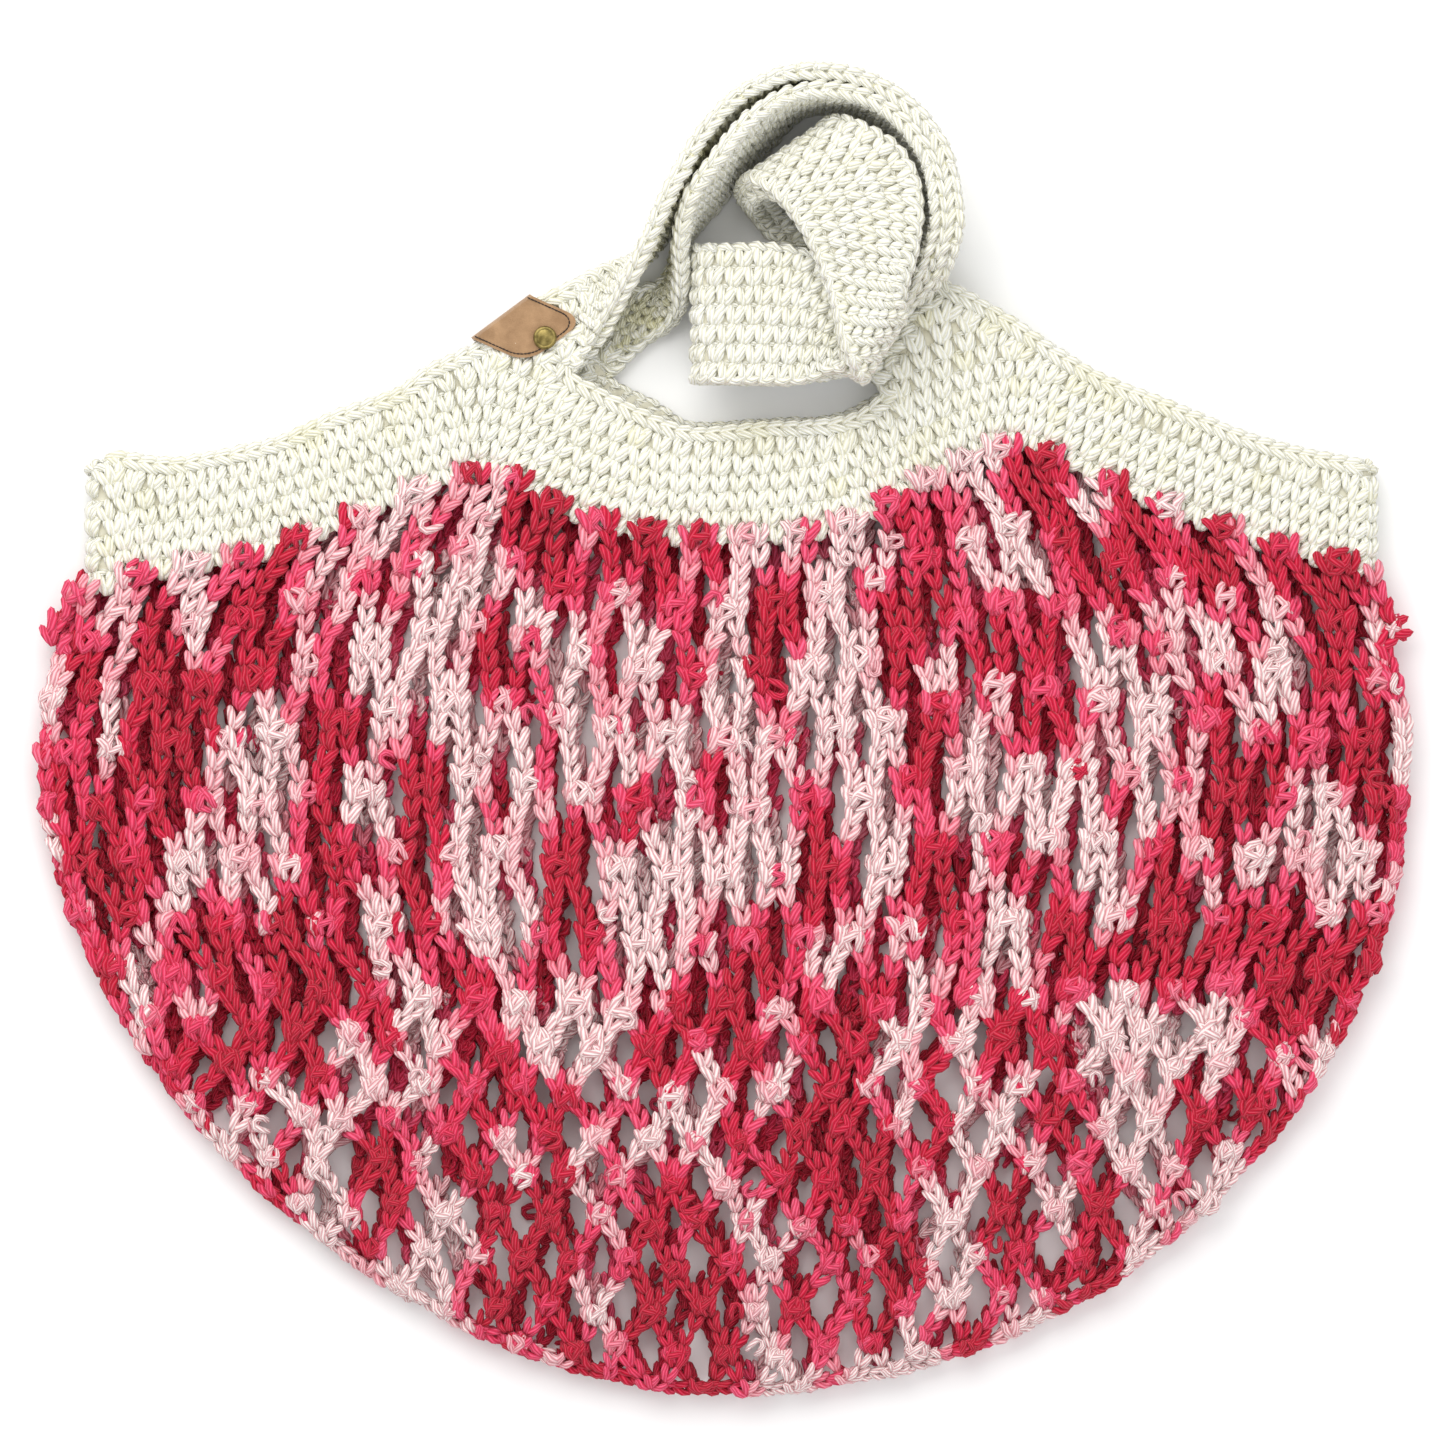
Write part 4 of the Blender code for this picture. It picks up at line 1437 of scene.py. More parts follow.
    def kept(self, flat: Vector, gathered: bool) -> bool:
        """Whether a knot of the gathered or of the open cells lies on the pouch."""
        if gathered:
            return abs(flat.x) < self.width_at(flat.y, flat.x) + 0.001
        return inside(flat, self.outline)

    def strand(
        self,
        side: Side,
        work: StitchWork,
        start: tuple[int, int, Vector, float],
        end: tuple[int, Vector, float],
        draw: random.Random,
    ) -> None:
        """Lays one strand between two knots.

        Args:
            side: Layer.
            work: Work that takes the strand.
            start: Column and row number of the lower knot, its place and its lift.
            end: Column step to the upper knot, its place and its lift.
            draw: Source of what is random.
        """
        number, row, low, low_lift = start
        step, high, high_lift = end
        steps = 7
        gathered = row >= self.open_rows
        beside = self.pair_upper if gathered else self.pair_lower
        bow, drop = draw.uniform(*self.BOW), draw.uniform(*self.DROP)
        roll, twist = draw.uniform(*self.ROLL), draw.uniform(*self.TWIST)
        flats = []
        for at in range(steps + 1):
            share = at / steps
            ease = share * share * (3 - 2 * share)
            flat = Vector((
                low.x + (high.x - low.x) * ease + step * beside * (1 - 2 * share),
                low.y + (high.y - low.y) * share,
            ))
            flats.append(flat + Vector((bow * math.sin(math.pi * share), 0)))
        points, ups, shades = [], [], []
        ways = tangents(flats)
        yarn = number * 2 + step + row // 3 * 50
        for at, (flat, way) in enumerate(zip(flats, ways)):
            share = at / steps
            lift = low_lift + (high_lift - low_lift) * share + drop * math.sin(math.pi * share)
            place, facing = self.lifted(flat, side, lift)
            turn = Quaternion(way.to_3d(), roll + twist * (share - 0.5) * 2)
            points.append(place)
            ups.append(turn @ facing)
            shades.append(self.dyes[side].shade(flat, yarn))
        work.line(points, ups, shades, self.size(row))

    def rim(self, work: StitchWork) -> None:
        """Lays the chain round the outline.

        Args:
            work: Work that takes the chain.
        """
        points, ups, shades = [], [], []
        for at, (place, way) in enumerate(zip(self.outline, tangents(self.outline))):
            outward = Vector((way.y, -way.x, 0))
            inner = place.to_3d() - outward * 0.0021
            wave = math.sin(at * 1.9) * 0.0007
            points.append(Vector((inner.x, inner.y + wave, self.middle + 0.0006)))
            ups.append((outward * 0.55 + UP).normalized())
            shades.append(self.dyes[Side.FRONT].shade(place, at // 4))
        work.line(points, ups, shades, self.size_lower)


class SideFold(NamedTuple):
    """Side fold of the band: where it starts, its way out and the level of the hem there."""

    x: float
    way: int
    hem: float


@dataclass
class Band:
    """Cream band of single crochet in rounds.

    Attributes:
        front_level: Middle of the front layer.
        back_level: Middle of the back layer.
        left_fold: Where the left fold starts.
        right_fold: Where the right fold starts.
        first_round: Distance of the first round from the hem.
        round_pitch: Distance between rounds.
        rounds: Number of rounds.
        stitch_pitch: Distance between stitches.
        clear: Distance that the rounds keep from an upper edge.
        last_row: Distance of the row under the edging from the edge.
        fullness: Size of a stitch of the rounds.
        corner: Level of the edge over the side folds.
        left_hem: Level of the hem at the left fold.
        right_hem: Level of the hem at the right fold.
        ground: Thickness of the cloth under the stitches.
        bed: How far out the stitches lie, as a share of that thickness.
        fold_clear: How far below the corner the rounds stop at the folds.
        edge_pitch: Distance between the stitches of the edging.
        edge_inset: Distance of the edging from the edge.
        edge_lean: How far the edging leans outwards.
        edge_size: Size of the edging's stitches.
        corner_size: Their size over the side folds.
    """

    front_level: float = 0.0108
    back_level: float = 0.0032
    left_fold: float = -0.1847
    right_fold: float = 0.1892
    first_round: float = 0.0022
    round_pitch: float = 0.0053
    rounds: int = 14
    stitch_pitch: float = 0.0060
    clear: float = 0.0068
    last_row: float = 0.0056
    fullness: float = 1.09
    corner: float = 0.0795
    left_hem: float = 0.0432
    right_hem: float = 0.0485
    ground: float = 0.0014
    bed: float = 0.45
    fold_clear: float = 0.0072
    edge_pitch: float = 0.0045
    edge_inset: float = 0.0012
    edge_lean: float = 0.4
    edge_size: float = 1.3
    corner_size: float = 1.25

    # Corners that close a layer's outline, far beside and below the bag.
    FRAME = ((0.24, 0.08), (0.24, -0.1), (-0.24, -0.1), (-0.24, 0.08))

    def __post_init__(self) -> None:
        """Works out the folds, the hem and the upper edges."""
        self.arc = (self.front_level - self.back_level) / 2
        self.middle = (self.front_level + self.back_level) / 2
        self.folds = (
            SideFold(self.left_fold, -1, self.left_hem),
            SideFold(self.right_fold, 1, self.right_hem),
        )
        ends = [Vector((fold.x, fold.hem)) for fold in self.folds]
        inner = [place for place in flat_places(BAND_HEM) if ends[0].x < place.x < ends[1].x]
        self.hem = smooth([ends[0], *inner, ends[1]], 4)
        self.tops, self.frames, self.edges = {}, {}, {}
        for side, grip in ((Side.FRONT, FRONT_GRIP), (Side.BACK, BACK_GRIP)):
            self.tops[side] = flat_places(LEFT_SHOULDER + grip + RIGHT_SHOULDER)
            self.frames[side] = [*self.tops[side], *(Vector(corner) for corner in self.FRAME)]
            parts = LEFT_SHOULDER, grip[1:] if side is Side.BACK else grip, RIGHT_SHOULDER
            self.edges[side] = [smooth(flat_places(part), 3) for part in parts]

    def level(self, side: Side) -> float:
        """Level of a layer's middle."""
        return self.front_level if side is Side.FRONT else self.back_level

    def offset_hem(self, distance: float) -> list[Vector]:
        """Line that follows the hem at a distance above it."""
        reach = 5
        ways = tangents(self.hem)
        found = []
        for at, place in enumerate(self.hem):
            near = ways[max(at - reach, 0) : at + reach + 1]
            way = sum(near, Vector((0, 0))).normalized()
            normal = Vector((-way.y, way.x))
            end = min(at, len(self.hem) - 1 - at)
            if end <= reach:
                normal = normal.lerp(Vector((0, 1)), 1 - end / (reach + 1)).normalized()
            found.append(place + normal * distance)
        return found

    def on_layer(self, place: Vector, side: Side) -> bool:
        """Whether a flat place lies on a layer, clear of the row under its edging."""
        return inside(place, self.frames[side]) and all(
            self.room(place, line) > self.clear for line in self.edges[side]
        )

    @staticmethod
    def room(place: Vector, line: Sequence[Vector]) -> float:
        """Distance to an edge, counted double where the edge has ended."""
        found, far = nearest(place, line)
        ended = min((found - line[0]).length, (found - line[-1]).length) < 0.0003
        return far * 2 if ended else far

    def build(self, shop: Workshop) -> list[bpy.types.Object]:
        """Ground cloth, stitches and edging.

        Args:
            shop: Shared trees and stitches.

        Returns:
            The ground, then the pieces on it.
        """
        draw = random.Random(41)
        works = {
            Side.FRONT: StitchWork(
                "band_front_stitches", StitchKind.SINGLE, Follow.LINE, self.stitch_pitch,
                turn=(0.14, 0.1, 0.16), swell=0.07, seed=4,
            ),
            Side.BACK: StitchWork(
                "band_back_stitches", StitchKind.LIGHT_SINGLE, Follow.LINE, self.stitch_pitch,
                turn=(0.1, 0.1, 0.12), swell=0.06, seed=6,
            ),
        }
        for number in range(self.rounds):
            self.course(number, works, draw)
        edging = StitchWork(
            "band_edging", StitchKind.CHAIN, Follow.LINE, self.edge_pitch, seed=9
        )
        for side in Side:
            self.edge(edging, works[side], side, draw)
        for fold in self.folds:
            self.corner_chain(edging, fold, draw)
            self.fold_row(works[Side.FRONT], fold, self.corner - self.last_row, draw)
        pieces = [work.build(shop, CREAM_YARN) for work in (*works.values(), edging)]
        return [self.ground_cloth(shop), *pieces]

    def course(self, number: int, works: dict[Side, StitchWork], draw: random.Random) -> None:
        """Lays one round of stitches, with its folds.

        Args:
            number: Number of the round from the hem.
            works: Work of each layer.
            draw: Source of what is random.
        """
        line = self.offset_hem(self.first_round + number * self.round_pitch)
        if number % 2:
            line[0] = line[0] + (line[1] - line[0]).normalized() * (self.stitch_pitch / 2)
        line = dense(line, 0.0015)
        for side, way in ((Side.FRONT, 1), (Side.BACK, -1), (Side.BACK, 1)):
            lift = way * self.ground * self.bed
            inner = way != side.way
            run: list[Vector] = []
            for place in [*line[::way], None]:
                shown = place is not None and self.on_layer(place, side)
                if shown and not (inner and inside(place, self.frames[Side.FRONT])):
                    run.append(Vector((place.x, place.y, self.level(side) + lift)))
                    continue
                if len(run) > 2:
                    ups = [UP * way] * len(run)
                    works[side].line(run, ups, self.tones(len(run), draw), self.fullness)
                run = []
        for fold, end in zip(self.folds, (line[0], line[-1])):
            if end.y < self.corner - self.fold_clear:
                self.fold_row(works[Side.FRONT], fold, end.y, draw)

    def round_fold(
        self, fold: SideFold, level: float, angle: float, reach: float
    ) -> tuple[Vector, Vector]:
        """Place and outward direction at an angle from straight up, round a side fold."""
        facing = Vector((fold.way * math.sin(angle), 0, math.cos(angle)))
        return Vector((fold.x, level, self.middle)) + facing * reach, facing

    def fold_row(
        self, work: StitchWork, fold: SideFold, level: float, draw: random.Random
    ) -> None:
        """Lays the stitches of one row round the middle part of a side fold.

        Args:
            work: Work that takes the stitches.
            fold: Side fold.
            level: How far up the row lies.
            draw: Source of what is random.
        """
        steps, start, span = 6, 0.27, 0.46
        points, ups = [], []
        for step in range(steps + 1):
            share = start + span * step / steps
            angle = math.pi * (share if fold.way > 0 else 1 - share)
            place, out = self.round_fold(fold, level, angle, self.arc + self.ground * self.bed)
            points.append(place)
            ups.append(out)
        work.line(points, ups, self.tones(len(points), draw))

    @staticmethod
    def tones(count: int, draw: random.Random) -> list[float]:
        """Shades of a row of stitches, a little uneven."""
        return [draw.uniform(0.2, 0.9) for _ in range(count)]

    def edge(
        self,
        work: StitchWork,
        below: StitchWork,
        side: Side,
        draw: random.Random,
    ) -> None:
        """Lays the chain and the last row along an upper edge, apart from the straps' starts.

        Args:
            work: Work that takes the chain.
            below: Work that takes the row of stitches under it.
            side: Layer.
            draw: Source of what is random.
        """
        for line in self.edges[side]:
            points, ups, row = [], [], []
            for place, way in zip(line, tangents(line)):
                outward = Vector((-way.y, way.x, 0))
                middle = Vector((place.x, place.y, self.level(side)))
                points.append(middle - outward * self.edge_inset)
                ups.append((outward * self.edge_lean + UP * side.way).normalized())
                row.append(middle - outward * self.last_row)
            tones = self.tones(len(points), draw)
            work.line(points, ups, tones, self.edge_size)
            for way in (1,) if side is Side.FRONT else (-1, 1):
                lifted = [place + UP * way * self.ground * self.bed for place in row[::way]]
                below.line(lifted, [UP * way] * len(row), tones)

    def corner_chain(self, work: StitchWork, fold: SideFold, draw: random.Random) -> None:
        """Lays the chain over the top of a side fold.

        Args:
            work: Work that takes the chain.
            fold: Side fold.
            draw: Source of what is random.
        """
        steps = 8
        points, ups = [], []
        for step in range(steps + 1):
            place, out = self.round_fold(fold, self.corner, math.pi * step / steps, self.arc)
            points.append(place)
            ups.append((out + Vector((0, 1, 0))).normalized())
        work.line(points, ups, self.tones(len(points), draw), self.corner_size)

    def ground_cloth(self, shop: Workshop) -> bpy.types.Object:
        """Thin closed cloth under the stitches, darker as painted shade: two layers and two folds.
        """
        points: list[Vector] = []
        faces: list[list[int]] = []
        for side, top in self.tops.items():
            upper = [place for place in top if self.left_fold < place.x < self.right_fold]
            left, right = (Vector((fold.x, self.corner)) for fold in self.folds)
            loop = [left, *upper, right, *self.hem[::-1]]
            middle = self.level(side)
            self.slab(loop, middle - self.ground / 2, middle + self.ground / 2, points, faces)
        for fold in self.folds:
            self.fold_cloth(fold, points, faces)
        return mesh_piece("band_ground", points, faces, shop.finish(SHADED_CREAM_GROUND))

    @staticmethod
    def slab(
        loop: Sequence[Vector],
        low: float,
        high: float,
        points: list[Vector],
        faces: list[list[int]],
    ) -> None:
        """Adds a flat slab.

        Args:
            loop: Outline.
            low: Lower level.
            high: Upper level.
            points: List that takes the corners.
            faces: List that takes the faces.
        """
        first, count = len(points), len(loop)
        points += [Vector((p.x, p.y, low)) for p in loop] + [Vector((p.x, p.y, high)) for p in loop]
        for face in tessellate_polygon([[p.to_3d() for p in loop]]):
            faces.append([first + corner for corner in face])
            faces.append([first + count + corner for corner in face[::-1]])
        for at in range(count):
            after = (at + 1) % count
            faces.append([first + at, first + after, first + count + after, first + count + at])

    def fold_cloth(
        self, fold: SideFold, points: list[Vector], faces: list[list[int]]
    ) -> None:
        """Adds the half round cloth of a side fold.

        Args:
            fold: Side fold.
            points: List that takes the corners.
            faces: List that takes the faces.
        """
        steps = 8
        first = len(points)
        for step in range(steps + 1):
            angle = math.pi * step / steps
            for reach in (self.arc - self.ground / 2, self.arc + self.ground / 2):
                x = fold.x + fold.way * math.sin(angle) * reach
                z = self.middle + math.cos(angle) * reach
                points += [Vector((x, fold.hem, z)), Vector((x, self.corner, z))]
        faces += ribbon_faces(steps + 1, (0, 1, 3, 2), first)


class CrossRow(NamedTuple):
    """Cross row of a strap in metres."""

    grip: Vector
    outer: Vector
    facing: Vector


@dataclass
class Strap:
    """One cream strap through the knot.

    Attributes:
        name: Name that its pieces start with.
        root: Rows where it leaves the band on the left.
        end: Rows where it joins the band on the right.
        side: 1 for the front strap and -1 for the back one.
        seed: Seed of its small unevenness.
        stitches: Stitches in a row.
        row_pitch: Distance between rows.
        ground: Thickness of the cloth under the stitches.
        ground_inset: How far the cloth's edges lie inside the rows' ends.
        bed: How far out the stitches lie, as a share of the cloth's thickness.
        face_floor: Lowest level of the stitches of a face that faces down.
        edge_pitch: Distance between the stitches of an edge chain.
        edge_inset: Distance of an edge chain from the edge.
        edge_size: Size of an edge chain's stitches.
        edge_floor: Lowest level of an edge chain.
    """

    name: str
    root: Sequence[Row]
    end: Sequence[Row]
    side: int
    seed: int
    stitches: int = 7
    row_pitch: float = 0.0055
    ground: float = 0.0014
    ground_inset: float = 0.0006
    bed: float = 0.42
    face_floor: float = 0.0026
    edge_pitch: float = 0.0046
    edge_inset: float = 0.0010
    edge_size: float = 1.28
    edge_floor: float = 0.0033

    # Shades of the two faces, the inner face's darker and yellower as painted shade, and a stitch's
    # length and width with the limits of its size.
    OUTER_SHADES = (0.3, 0.95)
    INNER_PAINTED_SHADES = (0.0, 0.35)
    LONG = (0.0053, 0.6, 1.3)
    WIDE = (0.0055, 0.55, 1.25)
    RAISED = 0.95

    LOOP_CENTRE = Vector((0.0275, 0.1554))
    LOOP_RADIUS = 0.0409
    LOOP_FOOT = 0.0012
    STEPS = 4

    @staticmethod
    def edges(row: Row) -> tuple[Vector, Vector]:
        """Both edges of a row, in metres."""
        return Vector(row[:3]) * MM, Vector(row[3:6]) * MM

    @classmethod
    def pair(cls) -> list[tuple[Vector, Vector, float]]:
        """Middle rows between the two straps, and how far apart the straps are."""
        found = []
        for row in LOOP:
            angle = math.radians(row.bearing)
            way = Vector((math.cos(angle), math.sin(angle)))
            grip = cls.LOOP_CENTRE + way * (cls.LOOP_RADIUS - row.apart * MM / 2)
            outer = grip - way * row.lean * MM
            found.append((
                Vector((*grip, row.height * MM)), Vector((*outer, cls.LOOP_FOOT)), row.apart * MM
            ))
        return found + [(*cls.edges(row), row.apart * MM) for row in KNOT]

    @staticmethod
    def facings(grips: Sequence[Vector], outers: Sequence[Vector]) -> list[Vector]:
        """Direction that the cloth faces at each row."""
        found = []
        last = len(grips) - 1
        for at, (grip, outer) in enumerate(zip(grips, outers)):
            before, after = max(at - 1, 0), min(at + 1, last)
            along = grips[after] + outers[after] - grips[before] - outers[before]
            found.append(along.cross(outer - grip).normalized())
        return found

    def rows(self) -> list[CrossRow]:
        """Rows of this strap, evenly spaced along its middle."""
        pair = self.pair()
        grips = smooth([grip for grip, _, _ in pair], self.STEPS)
        outers = smooth([outer for _, outer, _ in pair], self.STEPS)
        aparts = smooth([Vector((apart, 0)) for _, _, apart in pair], self.STEPS)
        shared = []
        for grip, outer, facing, apart in zip(grips, outers, self.facings(grips, outers), aparts):
            shift = facing * self.side * apart.x / 2
            shared.append((grip + shift, outer + shift))
        first = [self.edges(row) for row in self.root]
        final = [self.edges(row) for row in self.end]
        lines = []
        for edge in (0, 1):
            start = smooth([row[edge] for row in [*first, shared[0]]], self.STEPS)[:-1]
            finish = smooth([row[edge] for row in [shared[-1], *final]], self.STEPS)[1:]
            lines.append([*start, *(row[edge] for row in shared), *finish])
        return self.even(*lines)

    def even(self, grips: Sequence[Vector], outers: Sequence[Vector]) -> list[CrossRow]:
        """Rows at an even distance along the strap's middle.

        Args:
            grips: Grip edge.
            outers: Outer edge.

        Returns:
            The even rows.
        """
        middles = [(grip + outer) / 2 for grip, outer in zip(grips, outers)]
        travelled = [0.0]
        for start, end in zip(middles, middles[1:]):
            travelled.append(travelled[-1] + (end - start).length)
        count = round(travelled[-1] / self.row_pitch)
        even_grips, even_outers = [], []
        at = 0
        for number in range(count + 1):
            wanted = travelled[-1] * number / count
            while at < len(travelled) - 2 and travelled[at + 1] < wanted:
                at += 1
            share = (wanted - travelled[at]) / (travelled[at + 1] - travelled[at])
            even_grips.append(grips[at].lerp(grips[at + 1], share))
            even_outers.append(outers[at].lerp(outers[at + 1], share))
        facings = self.facings(even_grips, even_outers)
        return [CrossRow(*parts) for parts in zip(even_grips, even_outers, facings)]

    def build(self, shop: Workshop) -> list[bpy.types.Object]:
        """Ground cloth, the stitches of both faces and the edge chains.

        Args:
            shop: Shared trees and stitches.

        Returns:
            The ground, then the pieces on it.
        """
        rows = self.rows()
        draw = random.Random(self.seed)
        pieces = []
        for way in (1, -1):
            shown = way == self.side
            kind = StitchKind.SINGLE if shown else StitchKind.LIGHT_SINGLE
            part = "outer" if shown else "inner"
            work = StitchWork(f"{self.name}_{part}_stitches", kind, Follow.SPOT, seed=self.seed)
            self.face(work, rows, way, draw)
            pieces.append(work.build(shop, CREAM_YARN))
        braids = StitchWork(
            f"{self.name}_edges", StitchKind.CHAIN, Follow.LINE, self.edge_pitch, seed=self.seed
        )
        for edge in (0, 1):
            points, ups = [], []
            for row in rows:
                outward = (row[edge] - row[1 - edge]).normalized()
                place = row[edge] - outward * self.edge_inset
                place.z = max(place.z, self.edge_floor)
                points.append(place)
                ups.append(outward)
            tones = [draw.uniform(*self.OUTER_SHADES) for _ in points]
            braids.line(points, ups, tones, self.edge_size)
        pieces.append(braids.build(shop, CREAM_YARN))
        return [self.ground_cloth(shop, rows), *pieces]

    def face(
        self, work: StitchWork, rows: Sequence[CrossRow], way: int, draw: random.Random
    ) -> None:
        """Lays the stitches of one face; the inner face's darker, yellower shades are painted
        shade.

        Args:
            work: Work that takes the stitches.
            rows: Rows of the strap.
            way: 1 for the face that the rows face, -1 for the other.
            draw: Source of what is random.
        """
        # The inner face's darker, yellower shades are painted shade.
        shades = self.OUTER_SHADES if way == self.side else self.INNER_PAINTED_SHADES
        for here, there in zip(rows, rows[1:]):
            across = ((here.outer - here.grip) + (there.outer - there.grip)) / 2
            facing = (here.facing + there.facing).normalized() * way
            wide = across.length / self.stitches
            for number in range(self.stitches):
                share = (number + 0.5) / self.stitches
                low, high = (row.grip.lerp(row.outer, share) for row in (here, there))
                long = (high - low).length
                stagger = 0.25 + 0.5 * (number % 2)
                middle = low.lerp(high, stagger) + facing * self.ground * self.bed
                if facing.z < -0.5:
                    middle.z = max(middle.z, self.face_floor)
                size = (
                    held(long / self.LONG[0], *self.LONG[1:]),
                    held(wide / self.WIDE[0], *self.WIDE[1:]),
                    self.RAISED,
                )
                heading = (high - low).normalized() * way
                work.spot(middle, facing, heading, size, draw.uniform(*shades))

    def ground_cloth(self, shop: Workshop, rows: Sequence[CrossRow]) -> bpy.types.Object:
        """Thin closed ribbon under the stitches, darker as painted shade."""
        points: list[Vector] = []
        for row in rows:
            inward = (row.outer - row.grip).normalized() * self.ground_inset
            lift = row.facing * self.ground / 2
            low, high = row.grip + inward, row.outer - inward
            points += [low + lift, high + lift, high - lift, low - lift]
        faces = ribbon_faces(len(rows), range(4))
        return mesh_piece(f"{self.name}_ground", points, faces, shop.finish(SHADED_CREAM_GROUND))


@dataclass
class Tag:
    """Folded suede tag with a stitched border.

    Attributes:
        start: One end of its fold.
        end: Other end of its fold.
        heading: Direction from the fold, in degrees.
        length: Length of a leaf.
        corner: Radius of its round end.
        top: Middle level of the upper leaf.
        low: Middle level of the lower leaf.
        thick: Thickness of the suede.
        inset: Distance of the stitches from the edge.
    """

    start: Vector = Vector((-0.0752, 0.1180))
    end: Vector = Vector((-0.0578, 0.1309))
    heading: float = -24.0
    length: float = 0.0180
    corner: float = 0.0058
    top: float = 0.0136
    low: float = 0.0080
    thick: float = 0.0012
    inset: float = 0.0011

    def leaf(self, inset: float) -> list[tuple[float, float]]:
        """Profile of a leaf, from its round end to its fold.

        Args:
            inset: Distance in from its edge.

        Returns:
            Distances from the fold and from the side.
        """
        found = []
        corner = self.corner
        turns = 8
        for turn in range(turns + 1):
            angle = math.pi / 2 * turn / turns
            along = self.length - inset - corner * (1 - math.cos(angle))
            found.append((along, inset + corner * (1 - math.sin(angle))))
        return found

    def at(self, along: float, aside: float, level: float) -> Vector:
        """Place on a leaf by its distances from the fold and from its lower side."""
        way = math.radians(self.heading)
        place = self.start + Vector((math.cos(way), math.sin(way))) * along
        side = (self.end - self.start).normalized()
        return Vector((*(place + side * aside), level))

    def build(self, shop: Workshop) -> list[bpy.types.Object]:
        """Suede strip and its border.

        Args:
            shop: Shared trees and stitches.

        Returns:
            The strip, then its stitches.
        """
        width = (self.end - self.start).length
        middle, radius = (self.top + self.low) / 2, (self.top - self.low) / 2
        leaf = self.leaf(0.0)
        rows = [(along, aside, self.top) for along, aside in leaf]
        rows += [(0.008, 0.0, self.top), (0.004, 0.0, self.top + 0.0001)]
        turns = 8
        for turn in range(1, turns):
            angle = math.pi * turn / turns
            bend = radius * 0.5 * (1 - math.sin(angle))
            rows.append((bend, 0.0, middle + radius * math.cos(angle)))
        rows += [(0.004, 0.0, self.low), (0.008, 0.0, self.low)]
        rows += [(along, aside, self.low) for along, aside in leaf[::-1]]
        centres = [self.at(along, width / 2, level) for along, _, level in rows]
        facings = [
            way.cross((self.end - self.start).to_3d()).normalized() for way in tangents(centres)
        ]
        points: list[Vector] = []
        steps = 6
        for (along, aside, level), facing in zip(rows, facings):
            for lift in (0.5, -0.5):
                for step in range(steps + 1):
                    across = aside + (width - 2 * aside) * step / steps
                    points.append(self.at(along, across, level) + facing * lift * self.thick)
        order = [*range(steps + 1), *range(2 * steps + 1, steps, -1)]
        faces = ribbon_faces(len(rows), order)
        strip = mesh_piece("tag_suede", points, faces, shop.finish(SuedeFinish()))
        return [strip, self.border(shop, width)]

    def border(self, shop: Workshop, width: float) -> bpy.types.Object:
        """Dark stitches inside the edge of the upper leaf.

        Args:
            shop: Shared trees and stitches.
            width: Width of the tag.

        Returns:
            The stitches as one piece.
        """
        work = StitchWork(
            "tag_border", StitchKind.DASH, Follow.LINE, 0.0011,
            turn=(0.02, 0.02, 0.08), swell=0.1, seed=2,
        )
        leaf = self.leaf(self.inset)
        level = self.top + self.thick / 2 + 0.00008
        near = [self.at(0.0005, self.inset, level), *(self.at(a, b, level) for a, b in leaf[::-1])]
        far = [self.at(a, width - b, level) for a, b in leaf]
        line = [*near, *far, self.at(0.0005, width - self.inset, level)]
        work.line(line, [UP] * len(line), [0.5] * len(line))
        return work.build(shop, THREAD)


@dataclass
class Rivet:
    """Antique brass rivet with a domed, ringed cap.

    Attributes:
        place: Its middle.
        radius: Radius of the cap.
        top: Level of the cap's foot.
        low: Level of the back cap's face.
    """

    place: Vector = Vector((-0.0534, 0.1182))
    radius: float = 0.0035
    top: float = 0.0146
    low: float = 0.0070

    def build(self, shop: Workshop) -> bpy.types.Object:
        """Turned shape with a rim, a groove and a dome.

        Args:
            shop: Shared trees and stitches.

        Returns:
            The rivet.
        """
        profile = (
            (0.0, 1.12), (0.30, 1.10), (0.52, 1.03), (0.66, 0.93), (0.71, 0.84), (0.76, 0.93),
            (0.88, 0.92), (0.97, 0.72), (1.0, 0.40), (0.98, 0.0),
        )
        turned = [(share * self.radius, self.top + rise * MM) for share, rise in profile]
        turned += [(0.0011, self.top), (0.0011, self.low), (0.0034, self.low)]
        turned += [(0.0032, self.low - 0.0005), (0.0, self.low - 0.0006)]
        sides = 40
        points = [Vector((*self.place, turned[0][1])), Vector((*self.place, turned[-1][1]))]
        for radius, level in turned[1:-1]:
            for turn in range(sides):
                angle = math.tau * turn / sides
                out = self.place + Vector((math.cos(angle), math.sin(angle))) * radius
                points.append(Vector((*out, level)))
        faces = []
        rings = len(turned) - 2
        for at in range(rings - 1):
            for turn in range(sides):
                after = (turn + 1) % sides
                a, b = 2 + at * sides, 2 + (at + 1) * sides
                faces.append([a + turn, a + after, b + after, b + turn])
        for turn in range(sides):
            after = (turn + 1) % sides
            faces.append([0, 2 + after, 2 + turn])
            bottom = 2 + (rings - 1) * sides
            faces.append([1, bottom + turn, bottom + after])
        return mesh_piece("rivet_brass", points, faces, shop.finish(BrassFinish()))


class Lamp(NamedTuple):
    """Square soft light, with the width of its panel and its power in watts."""

    name: str
    place: tuple[float, float, float]
    width: float
    watts: float
    colour: Colour


LAMPS = (
    Lamp("soft_key", (-0.35, 0.75, 1.0), 1.1, 11.5, (1.0, 0.99, 0.97)),
    Lamp("soft_fill", (0.7, -0.4, 1.1), 1.3, 4.0, (0.98, 0.99, 1.0)),
)


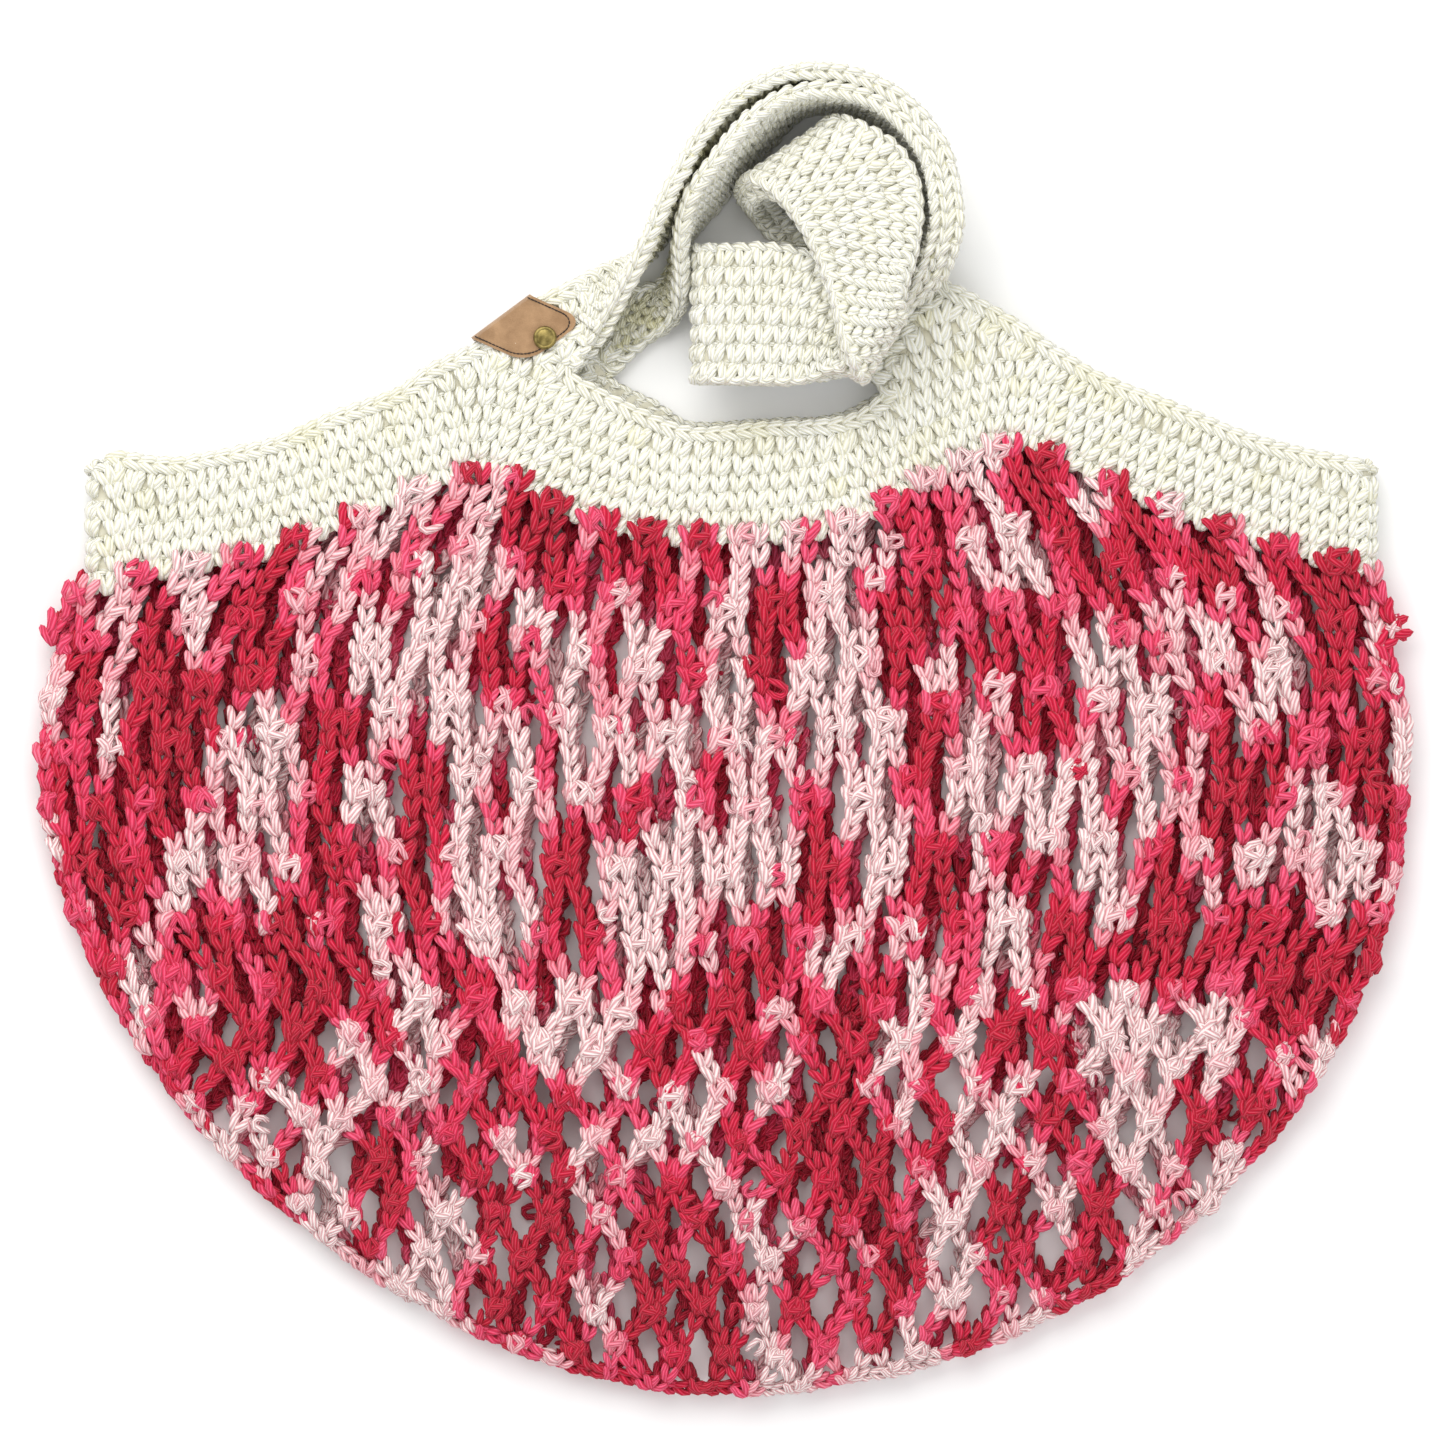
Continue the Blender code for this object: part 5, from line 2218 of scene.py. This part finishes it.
@dataclass
class Studio:
    """Pale floor, soft lights and the camera straight above.

    Attributes:
        scale: Metres that one pixel of the photograph covers.
        pixels: Width of the photograph.
        middle: Pixel that lies over the origin.
        distance: Height of the camera.
        film: Width of the film in millimetres.
        floor: Half width of the floor.
        paper: Colour of the floor.
        air: Strength of the even light from all sides.
    """

    scale: float = 0.0003
    pixels: int = 1445
    middle: tuple[float, float] = (723.5, 733.5)
    distance: float = 2.6
    film: float = 36.0
    floor: float = 3.0
    paper: Colour = (0.93, 0.93, 0.93)
    air: float = 0.80

    def build(self, shop: Workshop) -> None:
        """Sets up the floor, the lights, the camera and the world.

        Args:
            shop: Shared finishes.
        """
        size = self.floor
        mesh = bpy.data.meshes.new("studio_floor")
        corners = [(-size, -size, 0), (size, -size, 0), (size, size, 0), (-size, size, 0)]
        mesh.from_pydata(corners, [], [(0, 1, 2, 3)])
        mesh.materials.append(shop.finish(PlainFinish("studio_paper", self.paper)))
        floor = linked("studio_floor", mesh)
        self.camera()
        for lamp in LAMPS:
            self.light(lamp)
        world = bpy.data.worlds.new("studio_air")
        world.use_nodes = True
        background = world.node_tree.nodes["Background"]
        background.inputs["Color"].default_value = (1.0, 1.0, 1.0, 1.0)
        background.inputs["Strength"].default_value = self.air
        bpy.context.scene.world = world
        bpy.context.scene.view_settings.view_transform = "Standard"

    def camera(self) -> None:
        """Adds the camera over the photograph's middle."""
        lens = bpy.data.cameras.new("camera")
        lens.sensor_width = self.film
        lens.lens = self.film * self.distance / (self.pixels * self.scale)
        made = linked("camera", lens)
        half = (self.pixels - 1) / 2
        made.location = (
            (half - self.middle[0]) * self.scale,
            (self.middle[1] - half) * self.scale,
            self.distance,
        )
        bpy.context.scene.camera = made

    @staticmethod
    def light(lamp: Lamp) -> None:
        """Adds a light that faces the bag."""
        light = bpy.data.lights.new(lamp.name, "AREA")
        light.size = lamp.width
        light.energy = lamp.watts
        light.color = lamp.colour
        made = linked(lamp.name, light)
        made.location = lamp.place
        made.rotation_euler = (-Vector(lamp.place)).to_track_quat("-Z", "Y").to_euler()


class Slot(Enum):
    """Material slots of the record."""

    DYED = "variegated_yarn"
    CREAM = "cream_yarn"
    SUEDE = "tan_suede"
    BRASS = "antique_brass"


def attach(pieces: Iterable[bpy.types.Object], slot: Slot, *nodes: str) -> None:
    """Says what some pieces ride on and hides the CAD nodes that they stand for.

    Args:
        pieces: Finished pieces.
        slot: Material slot; not used.
        nodes: CAD nodes that they stand for.
    """
    for piece in pieces:
        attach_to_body(piece, "root")
        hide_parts(*nodes)


def main() -> None:
    """Loads the frame and builds the bag and its studio."""
    logging.basicConfig(level=logging.INFO, format="%(name)s %(message)s")
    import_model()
    shop = Workshop()
    pouch = NetPouch()
    net = pouch.build(shop)
    attach(net, Slot.DYED, "net_body")
    band = Band().build(shop)
    attach(band, Slot.CREAM, "band")
    straps = {
        "strap_front": Strap("strap_front", FRONT_ROOT, FRONT_END, 1, 51).build(shop),
        "strap_back": Strap("strap_back", BACK_ROOT, BACK_END, -1, 52).build(shop),
    }
    for node, pieces in straps.items():
        attach(pieces, Slot.CREAM, node)
    tag = Tag().build(shop)
    attach(tag, Slot.SUEDE, "label")
    rivet = Rivet().build(shop)
    attach([rivet], Slot.BRASS, "rivet")
    declare(pouch, straps)
    Studio().build(shop)
    shop.clear()


def declare(
    pouch: NetPouch,
    straps: dict[str, Sequence[bpy.types.Object]],
) -> None:
    """Args:
        pouch: Sizes of the net.
        straps: Ground and stitches of each strap.
    """
    for first in (0, 4):
        area = pouch.spread_area(True) + pouch.spread_area(False)
    for pieces in straps.values():
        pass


if __name__ == "__main__":
    main()
